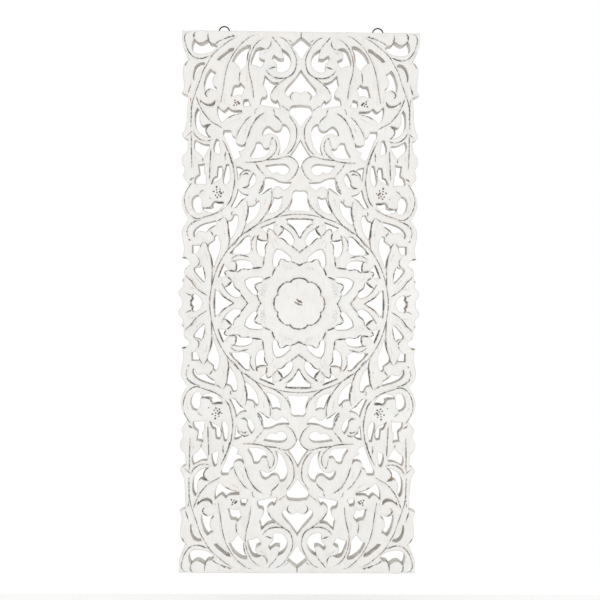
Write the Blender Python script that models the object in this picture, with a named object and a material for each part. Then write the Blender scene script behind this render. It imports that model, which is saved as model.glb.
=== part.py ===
"""Carved and pierced wooden wall panel with two wire hanging loops, in metres.

X runs across the panel, Z runs up it and the carved front faces -Y. The origin is on the flat
back, at the middle of the panel, where it lies against the wall.

One quarter of the pattern is laid out on a template in millimetres, measured across and up from
the panel's middle, and repeated in the other quarters. A window is a closed smooth curve through
a few template points, and it stays sharp only where it turns hard. The round middle repeats
eight times around its centre. The front is relief: every carved line is a step, with its floor
CARVING_DEPTH under the highest wood on one side of it.
"""

import math

import bmesh
import bpy
import numpy as np
from mathutils import Matrix, Vector
from mathutils.geometry import delaunay_2d_cdt

PANEL_WIDTH = 0.400
PANEL_HEIGHT = 0.916
PANEL_THICKNESS = 0.020

CARVING_DEPTH = 0.0040
STEP_WIDTH = 0.0026
EDGE_DROP = 0.0016
STATION_SPACING = 0.024
ROSETTE_SPACING = 0.009
CURVE_TOLERANCE = 0.0019
LEAST_LAND = 0.0016
SHARP_TURN = math.radians(62)
SPAN_STEPS = 8
CIRCLE_STEPS = 48
MERGE_DISTANCE = 1e-7

WIRE_DIAMETER = 0.0022
LOOP_WIDTH = 0.0201
LOOP_RISE = 0.0148
LOOP_DISTANCE = 0.1312
LEG_LENGTH = 0.018
LEG_BITE = 0.007
WIRE_SIDES = 6
BEND_STEPS = 2
ARC_STEPS = 4
DRILL_SIDES = 8
CLEARANCE = 0.0003

# The template's own size, in millimetres; the pattern keeps its proportions on a panel of another size.
TEMPLATE_WIDTH = 400
TEMPLATE_HEIGHT = 916

RAYS = 8
RAY_ANGLE = 22.5
FLOWER_RADIUS = 42.8
FLOWER_NOTCH = 4.2
RING_RADIUS = 150.5

# Windows of one quarter, as (across, up) on the template.
WINDOWS = {
    "beside_the_ring_bud": [
        (30, 181), (37, 178), (44, 179), (46, 172), (50, 163), (54, 154), (53, 151.5), (46, 153),
        (38, 157), (33, 165)],
    "over_the_ring_bud": [
        (15, 205), (28, 205), (36, 206.5), (43, 210), (50, 212.5), (59, 213), (60, 206), (64, 192),
        (70, 186.5), (66, 183.5), (60, 188), (54, 193), (48, 195.5), (46, 192), (42, 197), (36, 198),
        (31, 195), (28, 191), (19, 197)],
    "second_leaf_fork": [
        (87, 183), (95, 184.5), (101, 188), (105, 193), (107, 184), (112, 172), (116.5, 163), (113, 161),
        (108, 163), (103, 169), (98, 175), (92, 178.5)],
    "second_leaf_back": [
        (70, 174), (74, 170), (77, 166), (82, 164.5), (87, 164), (87, 155), (89, 145), (91, 137),
        (88, 133.5), (81, 139), (74, 147), (69, 158), (67.5, 168)],
    "third_leaf_back": [
        (106, 149), (111, 150), (113, 145), (116, 140.5), (122, 138.5), (121, 130), (119.5, 120),
        (117, 108.5), (112, 115), (107, 124), (104.5, 135)],
    "fourth_leaf_back": [
        (141, 115), (144, 113), (144.5, 107), (149, 103), (154, 99), (155, 93), (151, 82), (146, 62),
        (144.5, 61), (141, 72), (137, 82), (134, 94), (135, 104), (138, 112)],
    "side_leaf_square": [(168, 97.5), (181, 97.5), (181, 84), (173, 83), (169.5, 90)],
    "side_leaf_eye": [
        (166, 64), (170, 60.5), (177, 59.5), (178, 56), (174, 49), (168, 42), (161, 35), (159.5, 40),
        (161, 50), (163, 59)],
    "under_the_scroll": [
        (141.5, 139.5), (150, 137), (160, 134), (169, 130), (176, 124.5), (179.5, 117), (178, 111),
        (171, 121.5), (164, 121), (158, 120), (152, 126), (141, 133)],
    "scroll_hollow_outer": [
        (172, 182), (178, 179.5), (182, 173), (182, 165), (179, 157), (174, 152), (168, 151), (165, 155),
        (166, 165), (166, 173), (169, 178)],
    "scroll_hollow_inner": [
        (128.5, 170), (138, 169), (145, 171), (147.5, 168), (147, 162.5), (151, 160.5), (164, 161),
        (162, 157), (156, 154), (150, 152.5), (143, 153), (136, 158), (131, 164)],
    "stem_slot_inner": [
        (121, 234), (125, 233.5), (127, 224), (130, 208), (126, 198.5), (121, 204), (118.5, 212),
        (119, 222)],
    "stem_slot_middle": [
        (133, 231), (138.5, 230), (140, 214), (145, 212), (148, 206), (150, 200), (145, 203), (138, 207),
        (133, 211), (131, 218)],
    "stem_slot_outer": [
        (161, 235.5), (167, 233.5), (172, 233), (170.5, 225), (170.5, 217), (175, 213.5), (177.5, 208),
        (177.5, 201), (172, 200.5), (163, 200.5), (158, 199), (159, 207), (159, 214), (162, 220),
        (161.5, 228)],
    "bud_crown": [(108, 231), (100, 229), (95, 225), (102, 219), (103, 210), (105, 208), (106.5, 218)],
    "bud_crescent": [
        (79, 221), (83, 214), (86, 207), (86.5, 201), (91, 197), (97, 195.5), (90, 193.5), (83, 196),
        (77, 201), (74.5, 208), (75, 215)],
    "teardrop": [
        (58.5, 232.5), (32, 235.5), (24, 234.5), (19.5, 230), (19, 225), (22, 220), (28, 217), (34, 218),
        (38, 222), (43, 220), (48, 220.5), (53, 226)],
    "low_scroll_hollow": [
        (19, 293), (24, 301), (30, 303), (31, 298), (34, 293), (39, 291), (44, 292), (49, 296), (54, 299),
        (59, 297), (63, 291), (65, 284), (60, 284.5), (53, 287), (46, 286), (39, 281), (35, 273),
        (34, 263), (38, 250), (31, 254), (24, 262), (20, 273), (18, 284)],
    "low_scroll_shoulder": [
        (53, 263), (58, 261), (63, 264), (66, 270), (70, 272), (75, 271), (77, 263), (85, 249), (83, 246),
        (74, 245), (65, 246), (57, 250), (53, 257)],
    "under_the_finger_leaf": [
        (92, 272), (95, 268), (103, 267), (108, 270), (110, 280), (114, 282), (118, 291), (129, 291),
        (130, 286), (126, 277), (121, 265), (112, 242), (107, 243), (101, 248), (104, 256), (98, 258),
        (94, 263)],
    "top_scroll_hollow": [
        (33, 429), (27, 425.5), (21, 420), (17.5, 411), (17.5, 403), (21, 396), (27, 391.5), (35, 389.5),
        (40, 391), (41, 403), (45, 408), (49, 413), (46, 418.5), (42, 415.5), (36, 412), (29, 413)],
    "top_scroll_shoulder": [
        (61, 428.5), (68, 431), (75, 429), (80, 420), (84, 407), (84, 402), (76, 401), (68, 397),
        (61, 409), (70, 414), (71, 420), (67, 426)],
    "second_arch_window": [
        (85, 434.5), (91, 434), (99, 430), (107, 423), (113, 413), (115.5, 407), (111, 405), (106, 400),
        (101, 392.5), (97, 396), (92.5, 404), (91.5, 414), (89.5, 424)],
    "third_arch_slot": [
        (113, 430), (118, 429), (128, 422), (138, 413.5), (141.5, 409), (136, 408), (128, 413),
        (120, 420), (114, 426)],
    "corner_window": [
        (141, 432), (147, 436.5), (152, 437), (157, 443.5), (161, 441), (165, 438.5), (171, 437.5),
        (176, 440), (180, 444), (183, 436), (183, 426), (178, 420.5), (168, 419), (158, 420), (150, 423.5)],
    "outer_arch_slot": [
        (162, 404), (168, 405), (175, 401), (180, 392), (181.5, 383), (181, 376), (178, 375.5), (177, 383),
        (173.5, 391), (168, 397), (163, 400.5)],
    "over_the_ball": [
        (143, 388), (148, 390.5), (152.5, 394), (157, 388), (161, 378), (163, 367), (162, 358), (153, 361.5),
        (147, 360), (142.5, 357), (142, 362), (147, 367), (149, 374), (147, 382)],
    "under_the_ball": [
        (144, 341.5), (148.5, 337), (155, 335), (163, 337), (170, 342.5), (169, 338), (163, 332),
        (155, 329.5), (149, 331), (145, 335)],
    "under_the_pod": [
        (99, 325), (112, 325), (118, 326.5), (122, 330.5), (129, 323.5), (133, 326), (140, 333), (140.5, 326),
        (138, 314), (132, 304), (125, 311), (117, 316), (108, 319), (99, 320)],
    "side_crescent": [
        (173.5, 328), (176.5, 322), (178, 310), (177, 299), (173, 291), (167, 284.5), (160, 280.5),
        (151, 279), (156, 282.5), (160, 288), (160, 294), (155, 298.5), (151, 301), (158, 300.5),
        (164, 298), (168, 301), (170.5, 311), (170, 321)],
    "between_the_stems": [
        (153, 264), (154, 267.5), (163, 268), (170, 271), (177, 275), (178.5, 272), (178.5, 260), (174, 255),
        (168, 250), (164, 245), (160, 250), (156, 257)],
    "stem_fork": [
        (138, 275), (141.5, 277), (144.5, 270), (146, 261), (145, 254.5), (140, 252.5), (135.5, 250.5),
        (135, 257)],
    "heart_side": [
        (37, 373), (45, 373), (52, 376), (57, 381), (61, 384), (62, 376), (64, 369), (58, 358), (57, 352),
        (60, 348), (65, 347), (68, 340), (68, 335), (50, 331.5), (35, 328.5), (37, 338), (40, 343),
        (43, 340), (48, 343), (52, 349), (49, 359), (44, 366)],
    "over_the_pod": [
        (95, 363), (98, 367), (101, 371), (105, 368), (112, 367), (114.5, 362), (118, 348.5), (112, 349.5),
        (104, 351.5), (98.5, 350), (97.5, 356)],
    "beside_the_pod": [(84, 333), (88.5, 344), (95.5, 343), (97, 337), (96, 332), (90, 331.5)],
}
# Half windows on the panel's upright middle line, from top to bottom.
MIDDLE_WINDOWS = {
    "top_diamond": [(0, 449), (13, 439), (17, 437), (13, 431), (3, 416), (0, 412)],
    "heart": [
        (0, 394), (7, 384), (15, 374), (22, 366), (26, 359), (25, 352), (21, 349), (18, 353),
        (13, 357.5), (8, 358), (0, 354)],
    "under_the_heart": [(0, 335), (9, 334), (15, 333), (19, 327), (18, 320), (13, 315), (0, 298)],
    "low_diamond": [(0, 277), (8, 263), (17, 250), (11, 246), (5, 240), (0, 229)],
    "over_the_ring": [(0, 191), (9, 191), (12, 188), (12, 178), (15, 168), (19, 160), (17, 157.5), (0, 157.5)],
}
# The half window on the level middle line, from the ring outwards.
SIDE_WINDOW = [(163, 0), (166, 7), (171, 12.5), (179, 15), (181, 11), (179, 7), (182, 3), (183, 0)]

# Windows of the round middle, as (along, across) on a ray of the star.
STAR_WINDOW = [(100, 0), (95, 7), (86, 12.5), (77, 16), (72, 15), (73.5, 9), (78, 6), (82.5, 0)]
TIP_WINDOW = [(142.5, 0), (142.5, 11.5), (136, 8.5), (131.5, 5.5), (135, 3.5), (137.6, 0)]
STAR_SIDE_WINDOW = [
    (96, 27.5), (101, 31.5), (111, 32.5), (121, 29), (128, 24.5), (123.5, 20.6), (119.5, 10),
    (116.4, 9.2), (114.3, 14.5), (109.4, 18.4), (102, 20.6)]
UPRIGHT_TRIANGLE = [(112, 0), (121, 5), (131, 12), (138, 21), (142.5, 20), (142.5, 0)]
DIAGONAL_TRIANGLE = [(120, 0), (124, 7), (135, 17), (138.5, 21.5), (141.5, 19), (142.5, 0)]

# The panel's edge in one quarter, from the level middle line up to the corner.
SIDE_EDGE = [
    (197, 0), (198, 6), (203, 13), (203.5, 19), (197, 27), (195.5, 31), (198, 37), (194, 44), (194.5, 52),
    (192, 59), (184.5, 66), (186, 71), (190, 74), (198, 75.5), (196, 82), (195, 92), (197, 105), (199, 116),
    (197, 127), (187.5, 141), (196, 156), (199, 168), (197.5, 181), (188, 198), (197, 214), (194.5, 227),
    (198, 233), (199.5, 240), (197, 249), (191.5, 256), (190, 264), (189, 275), (196, 278), (199, 282),
    (195, 291), (192, 303), (190, 335), (189, 349), (200, 353), (197, 360), (197, 372), (198.5, 388),
    (198, 398), (194, 404.5), (188, 409), (192, 415), (197, 426), (200, 438), (200, 458)]

# Carved lines of one quarter. The wood on the left of a line, going along it, stands over the right.
CARVED_LINES = {
    "top_scroll_rim": [
        (38, 449), (22, 438), (13, 425), (8, 412), (8, 400), (12, 390), (20, 383), (30, 380), (40, 380),
        (50, 384), (60, 394)],
    "first_arch": [
        (81, 345), (82, 358), (84, 372), (87, 388), (88, 402), (85, 418), (79, 430), (70, 440), (60, 446)],
    "second_arch": [
        (135, 335), (131, 360), (129, 375), (126, 390), (121, 405), (115, 418), (107, 430), (97, 440),
        (85, 449), (75, 452)],
    "third_arch": [
        (183, 318), (180, 345), (175, 358), (171, 372), (165, 390), (157, 405), (148, 420), (135, 432),
        (120, 443), (108, 450)],
    "corner_scroll_rim": [(150, 415), (160, 412), (172, 413), (182, 418), (190, 430), (194, 445), (195, 455)],
    "heart_stem": [(20, 383), (32, 374), (42, 363), (50, 352)],
    "finger_leaf_left": [(58, 322), (66, 316), (75, 306), (82, 294), (87, 282), (90, 273)],
    "finger_leaf_right": [(107, 281), (98, 298), (90, 309), (82, 317)],
    "low_scroll_rim": [(20, 312), (12, 306), (8, 298), (7, 287), (10, 270), (17, 258), (27, 249)],
    "teardrop_rim": [
        (22, 206), (12, 213), (5, 224), (3, 232), (6, 240), (14, 246), (27, 249), (35, 246), (45, 243),
        (70, 239), (95, 238)],
    "low_curl": [(62, 242), (52, 245), (45, 253), (39, 264), (40, 277)],
    "high_stem": [(175, 345), (165, 322), (158, 312), (148, 303), (135, 297), (127, 291)],
    "side_cup": [(147, 275), (158, 272), (168, 275), (178, 283), (183, 293), (183, 306)],
    "inner_stem": [(130, 278), (122, 262), (116, 247), (112, 225), (111, 205), (115, 182), (125, 163)],
    "middle_stem": [(127, 252), (127, 236)],
    "outer_stem": [(151, 262), (152, 240), (153, 205)],
    "side_stem": [(184, 286), (184, 270), (183, 228)],
    "big_scroll_rim": [
        (125, 162), (133, 155), (145, 149), (158, 145), (175, 142), (187, 151), (194, 163), (195, 178),
        (190, 192), (181, 205)],
    "first_leaf": [(14, 178), (17, 168), (24, 158), (33, 150), (48, 143)],
    "second_leaf": [(48, 192), (47, 178), (52, 162), (60, 149), (68, 137), (78, 128), (92, 119)],
    "third_leaf": [(91, 176), (88, 163), (89, 145), (95, 124), (104, 109), (113, 98)],
    "fourth_leaf": [(128, 147), (122, 137), (120, 119), (119, 103), (122, 89)],
    "fifth_leaf": [(159, 104), (154, 97), (149, 80), (147, 60), (149, 35), (152, 10)],
    "side_leaf": [(193, 50), (183, 38), (174, 26), (165, 20), (155, 12)],
}
# Carved lines of the round middle, as (along, across) on a ray of the star.
STAR_LINE = [(73, 13), (66, 17), (61, 21.5), (59.1, 24.5)]
BAND_LINE = [(98, 24), (88, 29), (80.4, 33.3)]


def panel_point(point):
    """Takes a template point to metres on the panel, across and up."""
    across, up = point
    return across * PANEL_WIDTH / TEMPLATE_WIDTH, up * PANEL_HEIGHT / TEMPLATE_HEIGHT


def smooth_curve(points, closed):
    """Runs a Hermite curve through the points, with a corner kept where it turns by SHARP_TURN."""
    knots = np.array(points, dtype=float)
    into = knots - np.roll(knots, 1, axis=0)
    out = np.roll(knots, -1, axis=0) - knots
    into_length = np.maximum(np.linalg.norm(into, axis=1), 1e-6)[:, None]
    out_length = np.maximum(np.linalg.norm(out, axis=1), 1e-6)[:, None]
    heading = np.arctan2(out[:, 1], out[:, 0]) - np.arctan2(into[:, 1], into[:, 0])
    sharp = np.abs((heading + math.pi) % (2 * math.pi) - math.pi) > SHARP_TURN
    if not closed:
        sharp[0] = True
        sharp[-1] = True
    tangent = (into / into_length * out_length + out / out_length * into_length) / (into_length + out_length)
    last = len(knots) if closed else len(knots) - 1
    share = np.arange(SPAN_STEPS)[:, None] / SPAN_STEPS
    pieces = []
    for i in range(last):
        j = (i + 1) % len(knots)
        chord = knots[j] - knots[i]
        length = np.linalg.norm(chord)
        start = chord if sharp[i] else tangent[i] * length
        end = chord if sharp[j] else tangent[j] * length
        pieces.append(
            knots[i] * (2 * share**3 - 3 * share**2 + 1)
            + start * (share**3 - 2 * share**2 + share)
            + knots[j] * (3 * share**2 - 2 * share**3)
            + end * (share**3 - share**2)
        )
    if not closed:
        pieces.append(knots[-1:])
    return np.concatenate(pieces)


def thinned(curve, tolerance):
    """Leaves out the points of an open curve that lie within the tolerance of a straight run."""
    if len(curve) < 3:
        return curve
    chord = curve[-1] - curve[0]
    length = max(np.linalg.norm(chord), 1e-9)
    offset = curve[1:-1] - curve[0]
    away = np.abs(chord[0] * offset[:, 1] - chord[1] * offset[:, 0]) / length
    if away.max() < tolerance:
        return np.array([curve[0], curve[-1]])
    split = int(away.argmax()) + 1
    return np.concatenate([thinned(curve[: split + 1], tolerance)[:-1], thinned(curve[split:], tolerance)])


def thinned_loop(curve, tolerance):
    """Thins a closed curve in two runs, split at its first point and the point farthest from it."""
    far = int(np.linalg.norm(curve - curve[0], axis=1).argmax())
    first = thinned(curve[: far + 1], tolerance)
    second = thinned(np.concatenate([curve[far:], curve[:1]]), tolerance)
    return np.concatenate([first[:-1], second[:-1]])


def mirrored_half(half, axis):
    """Closes a half outline over the line where its coordinate with that index is zero."""
    signs = (-1, 1) if axis == 0 else (1, -1)
    other = [(x * signs[0], y * signs[1]) for x, y in reversed(half) if (x, y)[axis] != 0]
    return half + other


def turned(points, degrees):
    """Turns points about the panel's middle."""
    cosine = math.cos(math.radians(degrees))
    sine = math.sin(math.radians(degrees))
    return [(x * cosine - y * sine, x * sine + y * cosine) for x, y in points]


def in_quarters(points):
    """Repeats template points in the four quarters, running the same way round in each."""
    copies = []
    for side, height in ((1, 1), (-1, 1), (-1, -1), (1, -1)):
        copy = [(x * side, y * height) for x, y in points]
        copies.append(copy if side * height > 0 else copy[::-1])
    return copies


def panel_edge():
    """Builds the panel's whole edge from one quarter of it."""
    right = [(x, -y) for x, y in reversed(SIDE_EDGE)] + SIDE_EDGE[1:]
    return right + [(-x, y) for x, y in reversed(right)]


def rosette_windows():
    """Repeats the windows of the round middle around its eight rays."""
    outlines = []
    for ray in range(RAYS):
        star_ray = RAY_ANGLE + ray * 360 / RAYS
        triangle = UPRIGHT_TRIANGLE if ray % 2 == 0 else DIAGONAL_TRIANGLE
        outlines.append(turned(mirrored_half(STAR_WINDOW, 1), star_ray))
        outlines.append(turned(mirrored_half(TIP_WINDOW, 1), star_ray))
        outlines.append(turned(STAR_SIDE_WINDOW, star_ray))
        outlines.append(turned([(x, -y) for x, y in reversed(STAR_SIDE_WINDOW)], star_ray))
        outlines.append(turned(mirrored_half(triangle, 1), ray * 360 / RAYS))
    return outlines


def all_windows():
    """Lists every window of the panel as a closed outline on the template."""
    outlines = rosette_windows()
    for outline in WINDOWS.values():
        outlines += in_quarters(outline)
    for half in MIDDLE_WINDOWS.values():
        whole = mirrored_half(half, 0)
        outlines += [whole, [(x, -y) for x, y in reversed(whole)]]
    side = mirrored_half(SIDE_WINDOW, 1)
    return outlines + [side, [(-x, y) for x, y in reversed(side)]]


def circle_line(radius, notch):
    """Draws a carved ring, drawn in by the notch depth halfway between the rays' lobes."""
    points = []
    for step in range(CIRCLE_STEPS):
        angle = step * 2 * math.pi / CIRCLE_STEPS
        reach = radius - notch * (1 - abs(math.cos(angle * RAYS / 2))) ** 2
        points.append((reach * math.cos(angle), reach * math.sin(angle)))
    return points + points[:1]


def all_carved_lines():
    """Lists every carved line as a curve on the template, its high side and its station spacing."""
    lines = [
        (circle_line(RING_RADIUS, 0), 1, STATION_SPACING),
        (circle_line(FLOWER_RADIUS, FLOWER_NOTCH), 1, ROSETTE_SPACING)]
    for line in CARVED_LINES.values():
        for side, height in ((1, 1), (-1, 1), (-1, -1), (1, -1)):
            lines.append(([(x * side, y * height) for x, y in line], side * height, STATION_SPACING))
    for ray in range(RAYS):
        star_ray = RAY_ANGLE + ray * 360 / RAYS
        for line in (STAR_LINE, BAND_LINE):
            lines.append((turned(line, star_ray), -1, ROSETTE_SPACING))
            lines.append((turned([(x, -y) for x, y in line], star_ray), 1, ROSETTE_SPACING))
    return lines


def stations(points, spacing):
    """Takes a carved line to metres and reads it at evenly spaced stations, with its left side."""
    curve = np.array([panel_point(point) for point in smooth_curve(points, False)])
    run = np.concatenate([[0], np.cumsum(np.linalg.norm(np.diff(curve, axis=0), axis=1))])
    count = max(2, round(run[-1] / spacing) + 1)
    at = np.linspace(0, run[-1], count)
    floor = np.stack([np.interp(at, run, curve[:, 0]), np.interp(at, run, curve[:, 1])], axis=1)
    along = np.gradient(floor, axis=0)
    along /= np.linalg.norm(along, axis=1)[:, None]
    return floor, np.stack([-along[:, 1], along[:, 0]], axis=1)


def distance_to(points, start, end):
    """Measures from each point to its nearest segment."""
    chord = end - start
    offset = points[:, None, :] - start[None, :, :]
    share = np.clip((offset * chord).sum(axis=2) / (chord**2).sum(axis=1), 0, 1)
    return np.linalg.norm(offset - share[:, :, None] * chord, axis=2).min(axis=1)


def inside(points, start, end):
    """Counts how often a ray from each point crosses the outlines; an odd count is wood."""
    above = (start[None, :, 1] > points[:, None, 1]) != (end[None, :, 1] > points[:, None, 1])
    rise = np.where(end[:, 1] == start[:, 1], 1, end[:, 1] - start[:, 1])
    crossing = start[:, 0] + (points[:, None, 1] - start[:, 1]) * (end[:, 0] - start[:, 0]) / rise
    return (above & (points[:, None, 0] < crossing)).sum(axis=1) % 2 == 1


def filled(points, edges, start, end):
    """Triangulates the wood between the outlines and returns the points, triangles and sources."""
    flat = [Vector(point) for point in points]
    corners, _, triangles, sources, _, _ = delaunay_2d_cdt(flat, edges, [], 0, MERGE_DISTANCE, True)
    corners = np.array([tuple(corner) for corner in corners])
    triangles = np.array(triangles)
    wood = inside(corners[triangles].mean(axis=1), start, end)
    return corners, triangles[wood], sources


def relief_points(start, end):
    """Collects the floor and crest points of all carved lines, and the edges along them."""
    places = []
    heights = []
    edges = []
    for line, left, spacing in all_carved_lines():
        floor, side = stations(line, spacing)
        crest = floor + side * left * STEP_WIDTH
        for row, height in ((floor, -CARVING_DEPTH), (crest, 0.0)):
            clear = inside(row, start, end) & (distance_to(row, start, end) > LEAST_LAND)
            if places:
                clear &= np.linalg.norm(row[:, None] - np.array(places), axis=2).min(axis=1) > LEAST_LAND
            index = np.where(clear, len(places) + np.cumsum(clear) - 1, -1)
            places += [tuple(point) for point in row[clear]]
            heights += [height] * int(clear.sum())
            for i in range(len(row) - 1):
                if index[i] < 0 or index[i + 1] < 0:
                    continue
                between = row[i] + (row[i + 1] - row[i]) * np.linspace(0.1, 0.9, 9)[:, None]
                if distance_to(between, start, end).min() > LEAST_LAND / 2:
                    edges.append((int(index[i]), int(index[i + 1])))
    return places, heights, edges


def make_panel(material):
    """Builds the pierced board with a flat back, straight sawn walls and a carved front."""
    loops = [panel_edge()] + all_windows()
    points = []
    outline_edges = []
    for loop in loops:
        curve = np.array([panel_point(point) for point in smooth_curve(loop, True)])
        loop_points = thinned_loop(curve, CURVE_TOLERANCE)
        first = len(points)
        count = len(loop_points)
        points += [tuple(point) for point in loop_points]
        outline_edges += [(first + i, first + (i + 1) % count) for i in range(count)]
    outline_count = len(points)
    start = np.array([points[a] for a, _ in outline_edges])
    end = np.array([points[b] for _, b in outline_edges])

    places, heights, line_edges = relief_points(start, end)
    front_points = points + places
    front_edges = outline_edges + [(a + outline_count, b + outline_count) for a, b in line_edges]
    corners, triangles, sources = filled(front_points, front_edges, start, end)
    drop = [EDGE_DROP] * outline_count + [-height for height in heights]
    vertices = []
    front_of = {}
    for number, (corner, source) in enumerate(zip(corners, sources)):
        depth = drop[source[0]] if source else CARVING_DEPTH
        vertices.append((corner[0], -PANEL_THICKNESS + depth, corner[1]))
        for original in source:
            front_of[original] = number
    faces = [tuple(int(i) for i in triangle) for triangle in triangles]

    back_start = len(vertices)
    back_corners, back_triangles, back_sources = filled(points, outline_edges, start, end)
    back_of = {}
    for number, (corner, source) in enumerate(zip(back_corners, back_sources)):
        vertices.append((corner[0], 0.0, corner[1]))
        for original in source:
            back_of[original] = back_start + number
    faces += [tuple(int(i) + back_start for i in triangle[::-1]) for triangle in back_triangles]
    for a, b in outline_edges:
        faces.append((front_of[a], front_of[b], back_of[b], back_of[a]))

    mesh = bpy.data.meshes.new("panel")
    mesh.from_pydata(vertices, [], faces)
    body = bmesh.new()
    body.from_mesh(mesh)
    bmesh.ops.delete(body, geom=[v for v in body.verts if not v.link_faces], context="VERTS")
    bmesh.ops.recalc_face_normals(body, faces=body.faces)
    body.to_mesh(mesh)
    body.free()
    panel = bpy.data.objects.new("panel", mesh)
    mesh.materials.append(material)
    return panel


def wire_route(centre):
    """Lays out a hanging loop's centre line, from one leg's tip in the wood round to the other."""
    lie = CLEARANCE + WIRE_DIAMETER / 2
    reach = (LOOP_WIDTH - WIRE_DIAMETER) / 2
    top = PANEL_HEIGHT / 2
    arc_height = top + LOOP_RISE - WIRE_DIAMETER / 2 - reach
    foot = top - LEG_LENGTH
    half = [(reach, -LEG_BITE, foot)]
    for step in range(BEND_STEPS + 1):
        angle = math.pi / 2 * step / BEND_STEPS
        half.append((reach, lie * math.sin(angle), foot + lie * (1 - math.cos(angle))))
    for step in range(ARC_STEPS + 1):
        angle = math.pi / 2 * step / ARC_STEPS
        half.append((reach * math.cos(angle), lie, arc_height + reach * math.sin(angle)))
    other = [(-x, y, z) for x, y, z in reversed(half[:-1])]
    return [(centre + x, y, z) for x, y, z in half + other]


def make_hanger(name, centre, material):
    """Bends one hanging loop from round wire, with both legs turned into the back of the panel."""
    curve = bpy.data.curves.new(name, "CURVE")
    curve.dimensions = "3D"
    curve.bevel_depth = WIRE_DIAMETER / 2
    curve.bevel_resolution = WIRE_SIDES // 2 - 2
    curve.use_fill_caps = True
    route = wire_route(centre)
    spline = curve.splines.new("POLY")
    spline.points.add(len(route) - 1)
    for point, place in zip(spline.points, route):
        point.co = (*place, 1.0)
    curve.materials.append(material)
    return bpy.data.objects.new(name, curve)


def make_leg_hole_cutter(name, centre):
    """Makes the drills for one loop's two legs, a clearance wider and deeper than the wire."""
    reach = (LOOP_WIDTH - WIRE_DIAMETER) / 2
    radius = (WIRE_DIAMETER / 2 + CLEARANCE) / math.cos(math.pi / DRILL_SIDES)
    depth = LEG_BITE + CLEARANCE
    drills = bmesh.new()
    for side in (-1, 1):
        place = Matrix.Translation((centre + side * reach, 0, PANEL_HEIGHT / 2 - LEG_LENGTH))
        bmesh.ops.create_cone(
            drills, cap_ends=True, segments=DRILL_SIDES, radius1=radius, radius2=radius, depth=2 * depth,
            matrix=place @ Matrix.Rotation(math.pi / 2, 4, "X"))
    mesh = bpy.data.meshes.new(name)
    drills.to_mesh(mesh)
    drills.free()
    cutter = bpy.data.objects.new(name, mesh)
    cutter.hide_render = True
    cutter.display_type = "WIRE"
    return cutter


def make_material(name, colour, roughness, metallic):
    """Makes a plain finish."""
    material = bpy.data.materials.new(name)
    material.use_nodes = True
    shader = material.node_tree.nodes["Principled BSDF"]
    shader.inputs["Base Color"].default_value = (*colour, 1.0)
    shader.inputs["Roughness"].default_value = roughness
    shader.inputs["Metallic"].default_value = metallic
    return material


def build():
    """Clears the scene and builds the panel and its two hanging loops."""
    for old in list(bpy.data.objects):
        bpy.data.objects.remove(old)
    parts = bpy.data.collections.new("carved_wall_panel")
    cutters = bpy.data.collections.new("cutters")
    bpy.context.scene.collection.children.link(parts)
    bpy.context.scene.collection.children.link(cutters)

    white_wood = make_material("whitewashed_wood", (0.78, 0.76, 0.71), 0.8, 0.0)
    black_wire = make_material("black_wire", (0.02, 0.02, 0.02), 0.45, 0.9)
    panel = make_panel(white_wood)
    parts.objects.link(panel)
    for name, side in (("hanger_left", -1), ("hanger_right", 1)):
        centre = side * LOOP_DISTANCE
        parts.objects.link(make_hanger(name, centre, black_wire))
        cutter = make_leg_hole_cutter(name + "_leg_holes", centre)
        cutters.objects.link(cutter)
        cut = panel.modifiers.new(cutter.name, "BOOLEAN")
        cut.operation = "DIFFERENCE"
        cut.object = cutter


build()
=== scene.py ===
"""Looks of the carved and pierced wall panel and its two wire hanging loops.

Every place on the panel is a template point: millimetres across and up from the panel's middle.
The front is one height function of (across, up), worked out for one quarter of the panel as whole
arrays and repeated in the other three, with slow unevenness added over the whole panel after that.
"""

import math

import bpy
import numpy as np
from mathutils import Euler, Matrix, Vector
from mathutils.geometry import delaunay_2d_cdt


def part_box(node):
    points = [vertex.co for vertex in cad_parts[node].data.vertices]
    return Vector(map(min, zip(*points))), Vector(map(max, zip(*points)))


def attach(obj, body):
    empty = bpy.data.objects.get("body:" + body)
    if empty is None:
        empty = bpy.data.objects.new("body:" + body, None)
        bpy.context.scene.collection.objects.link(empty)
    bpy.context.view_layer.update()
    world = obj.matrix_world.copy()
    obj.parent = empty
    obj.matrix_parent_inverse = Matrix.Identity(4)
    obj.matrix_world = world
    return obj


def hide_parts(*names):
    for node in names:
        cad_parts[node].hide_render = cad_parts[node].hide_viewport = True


# The template's height and its width over all, in millimetres, and the panel's thickness on it.
TEMPLATE_HEIGHT = 916.0
TEMPLATE_OVERALL_WIDTH = 407.3
THICKNESS = 20.0

# How far apart the mesh's points stand: along the outlines, the carved lines and the flower's edge,
# round a dimple, and over the field between them, which is jittered and ends past the widest place.
EDGE_SPACING = 1.85
LINE_SPACING = 1.7
FLOWER_SPACING = 1.2
DIMPLE_SPACING = 2.2
FIELD_SPACING = 3.6
FIELD_JITTER = 0.8
FIELD_SEED = 11
FIELD_REACH = 205
# The grid of points over the middle button, as its first, end and step.
BUTTON_GRID = (0.6, 8.7, 1.05)
RIM_OFFSETS = (0.7, 2.0)
# Rows of points beside a carved line, by kind, as distances to its left.
LINE_ROWS = {
    "bold": (0.0, 1.0, -1.0, 2.4, -2.4),
    "step": (0.0, 1.0, -1.0, 2.4, -2.4),
    "cut": (0.0, 0.85, -0.85),
    "comb": (0.0, 0.85, -0.85),
    "edge": (),
    "thin_edge": (),
}
# No inner point stands nearer than this to an outline, or to a side of the quarter.
LEAST_LAND = 0.5
SEAM_MARGIN = 0.5
# A curve keeps a corner where it turns by more than this.
SHARP_TURN = math.radians(62)
# How far beside an outline the wood is looked for, and what counts as nothing.
PROBE = 0.02
TINY = 1e-6
MERGE_DISTANCE = 1e-7

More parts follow.
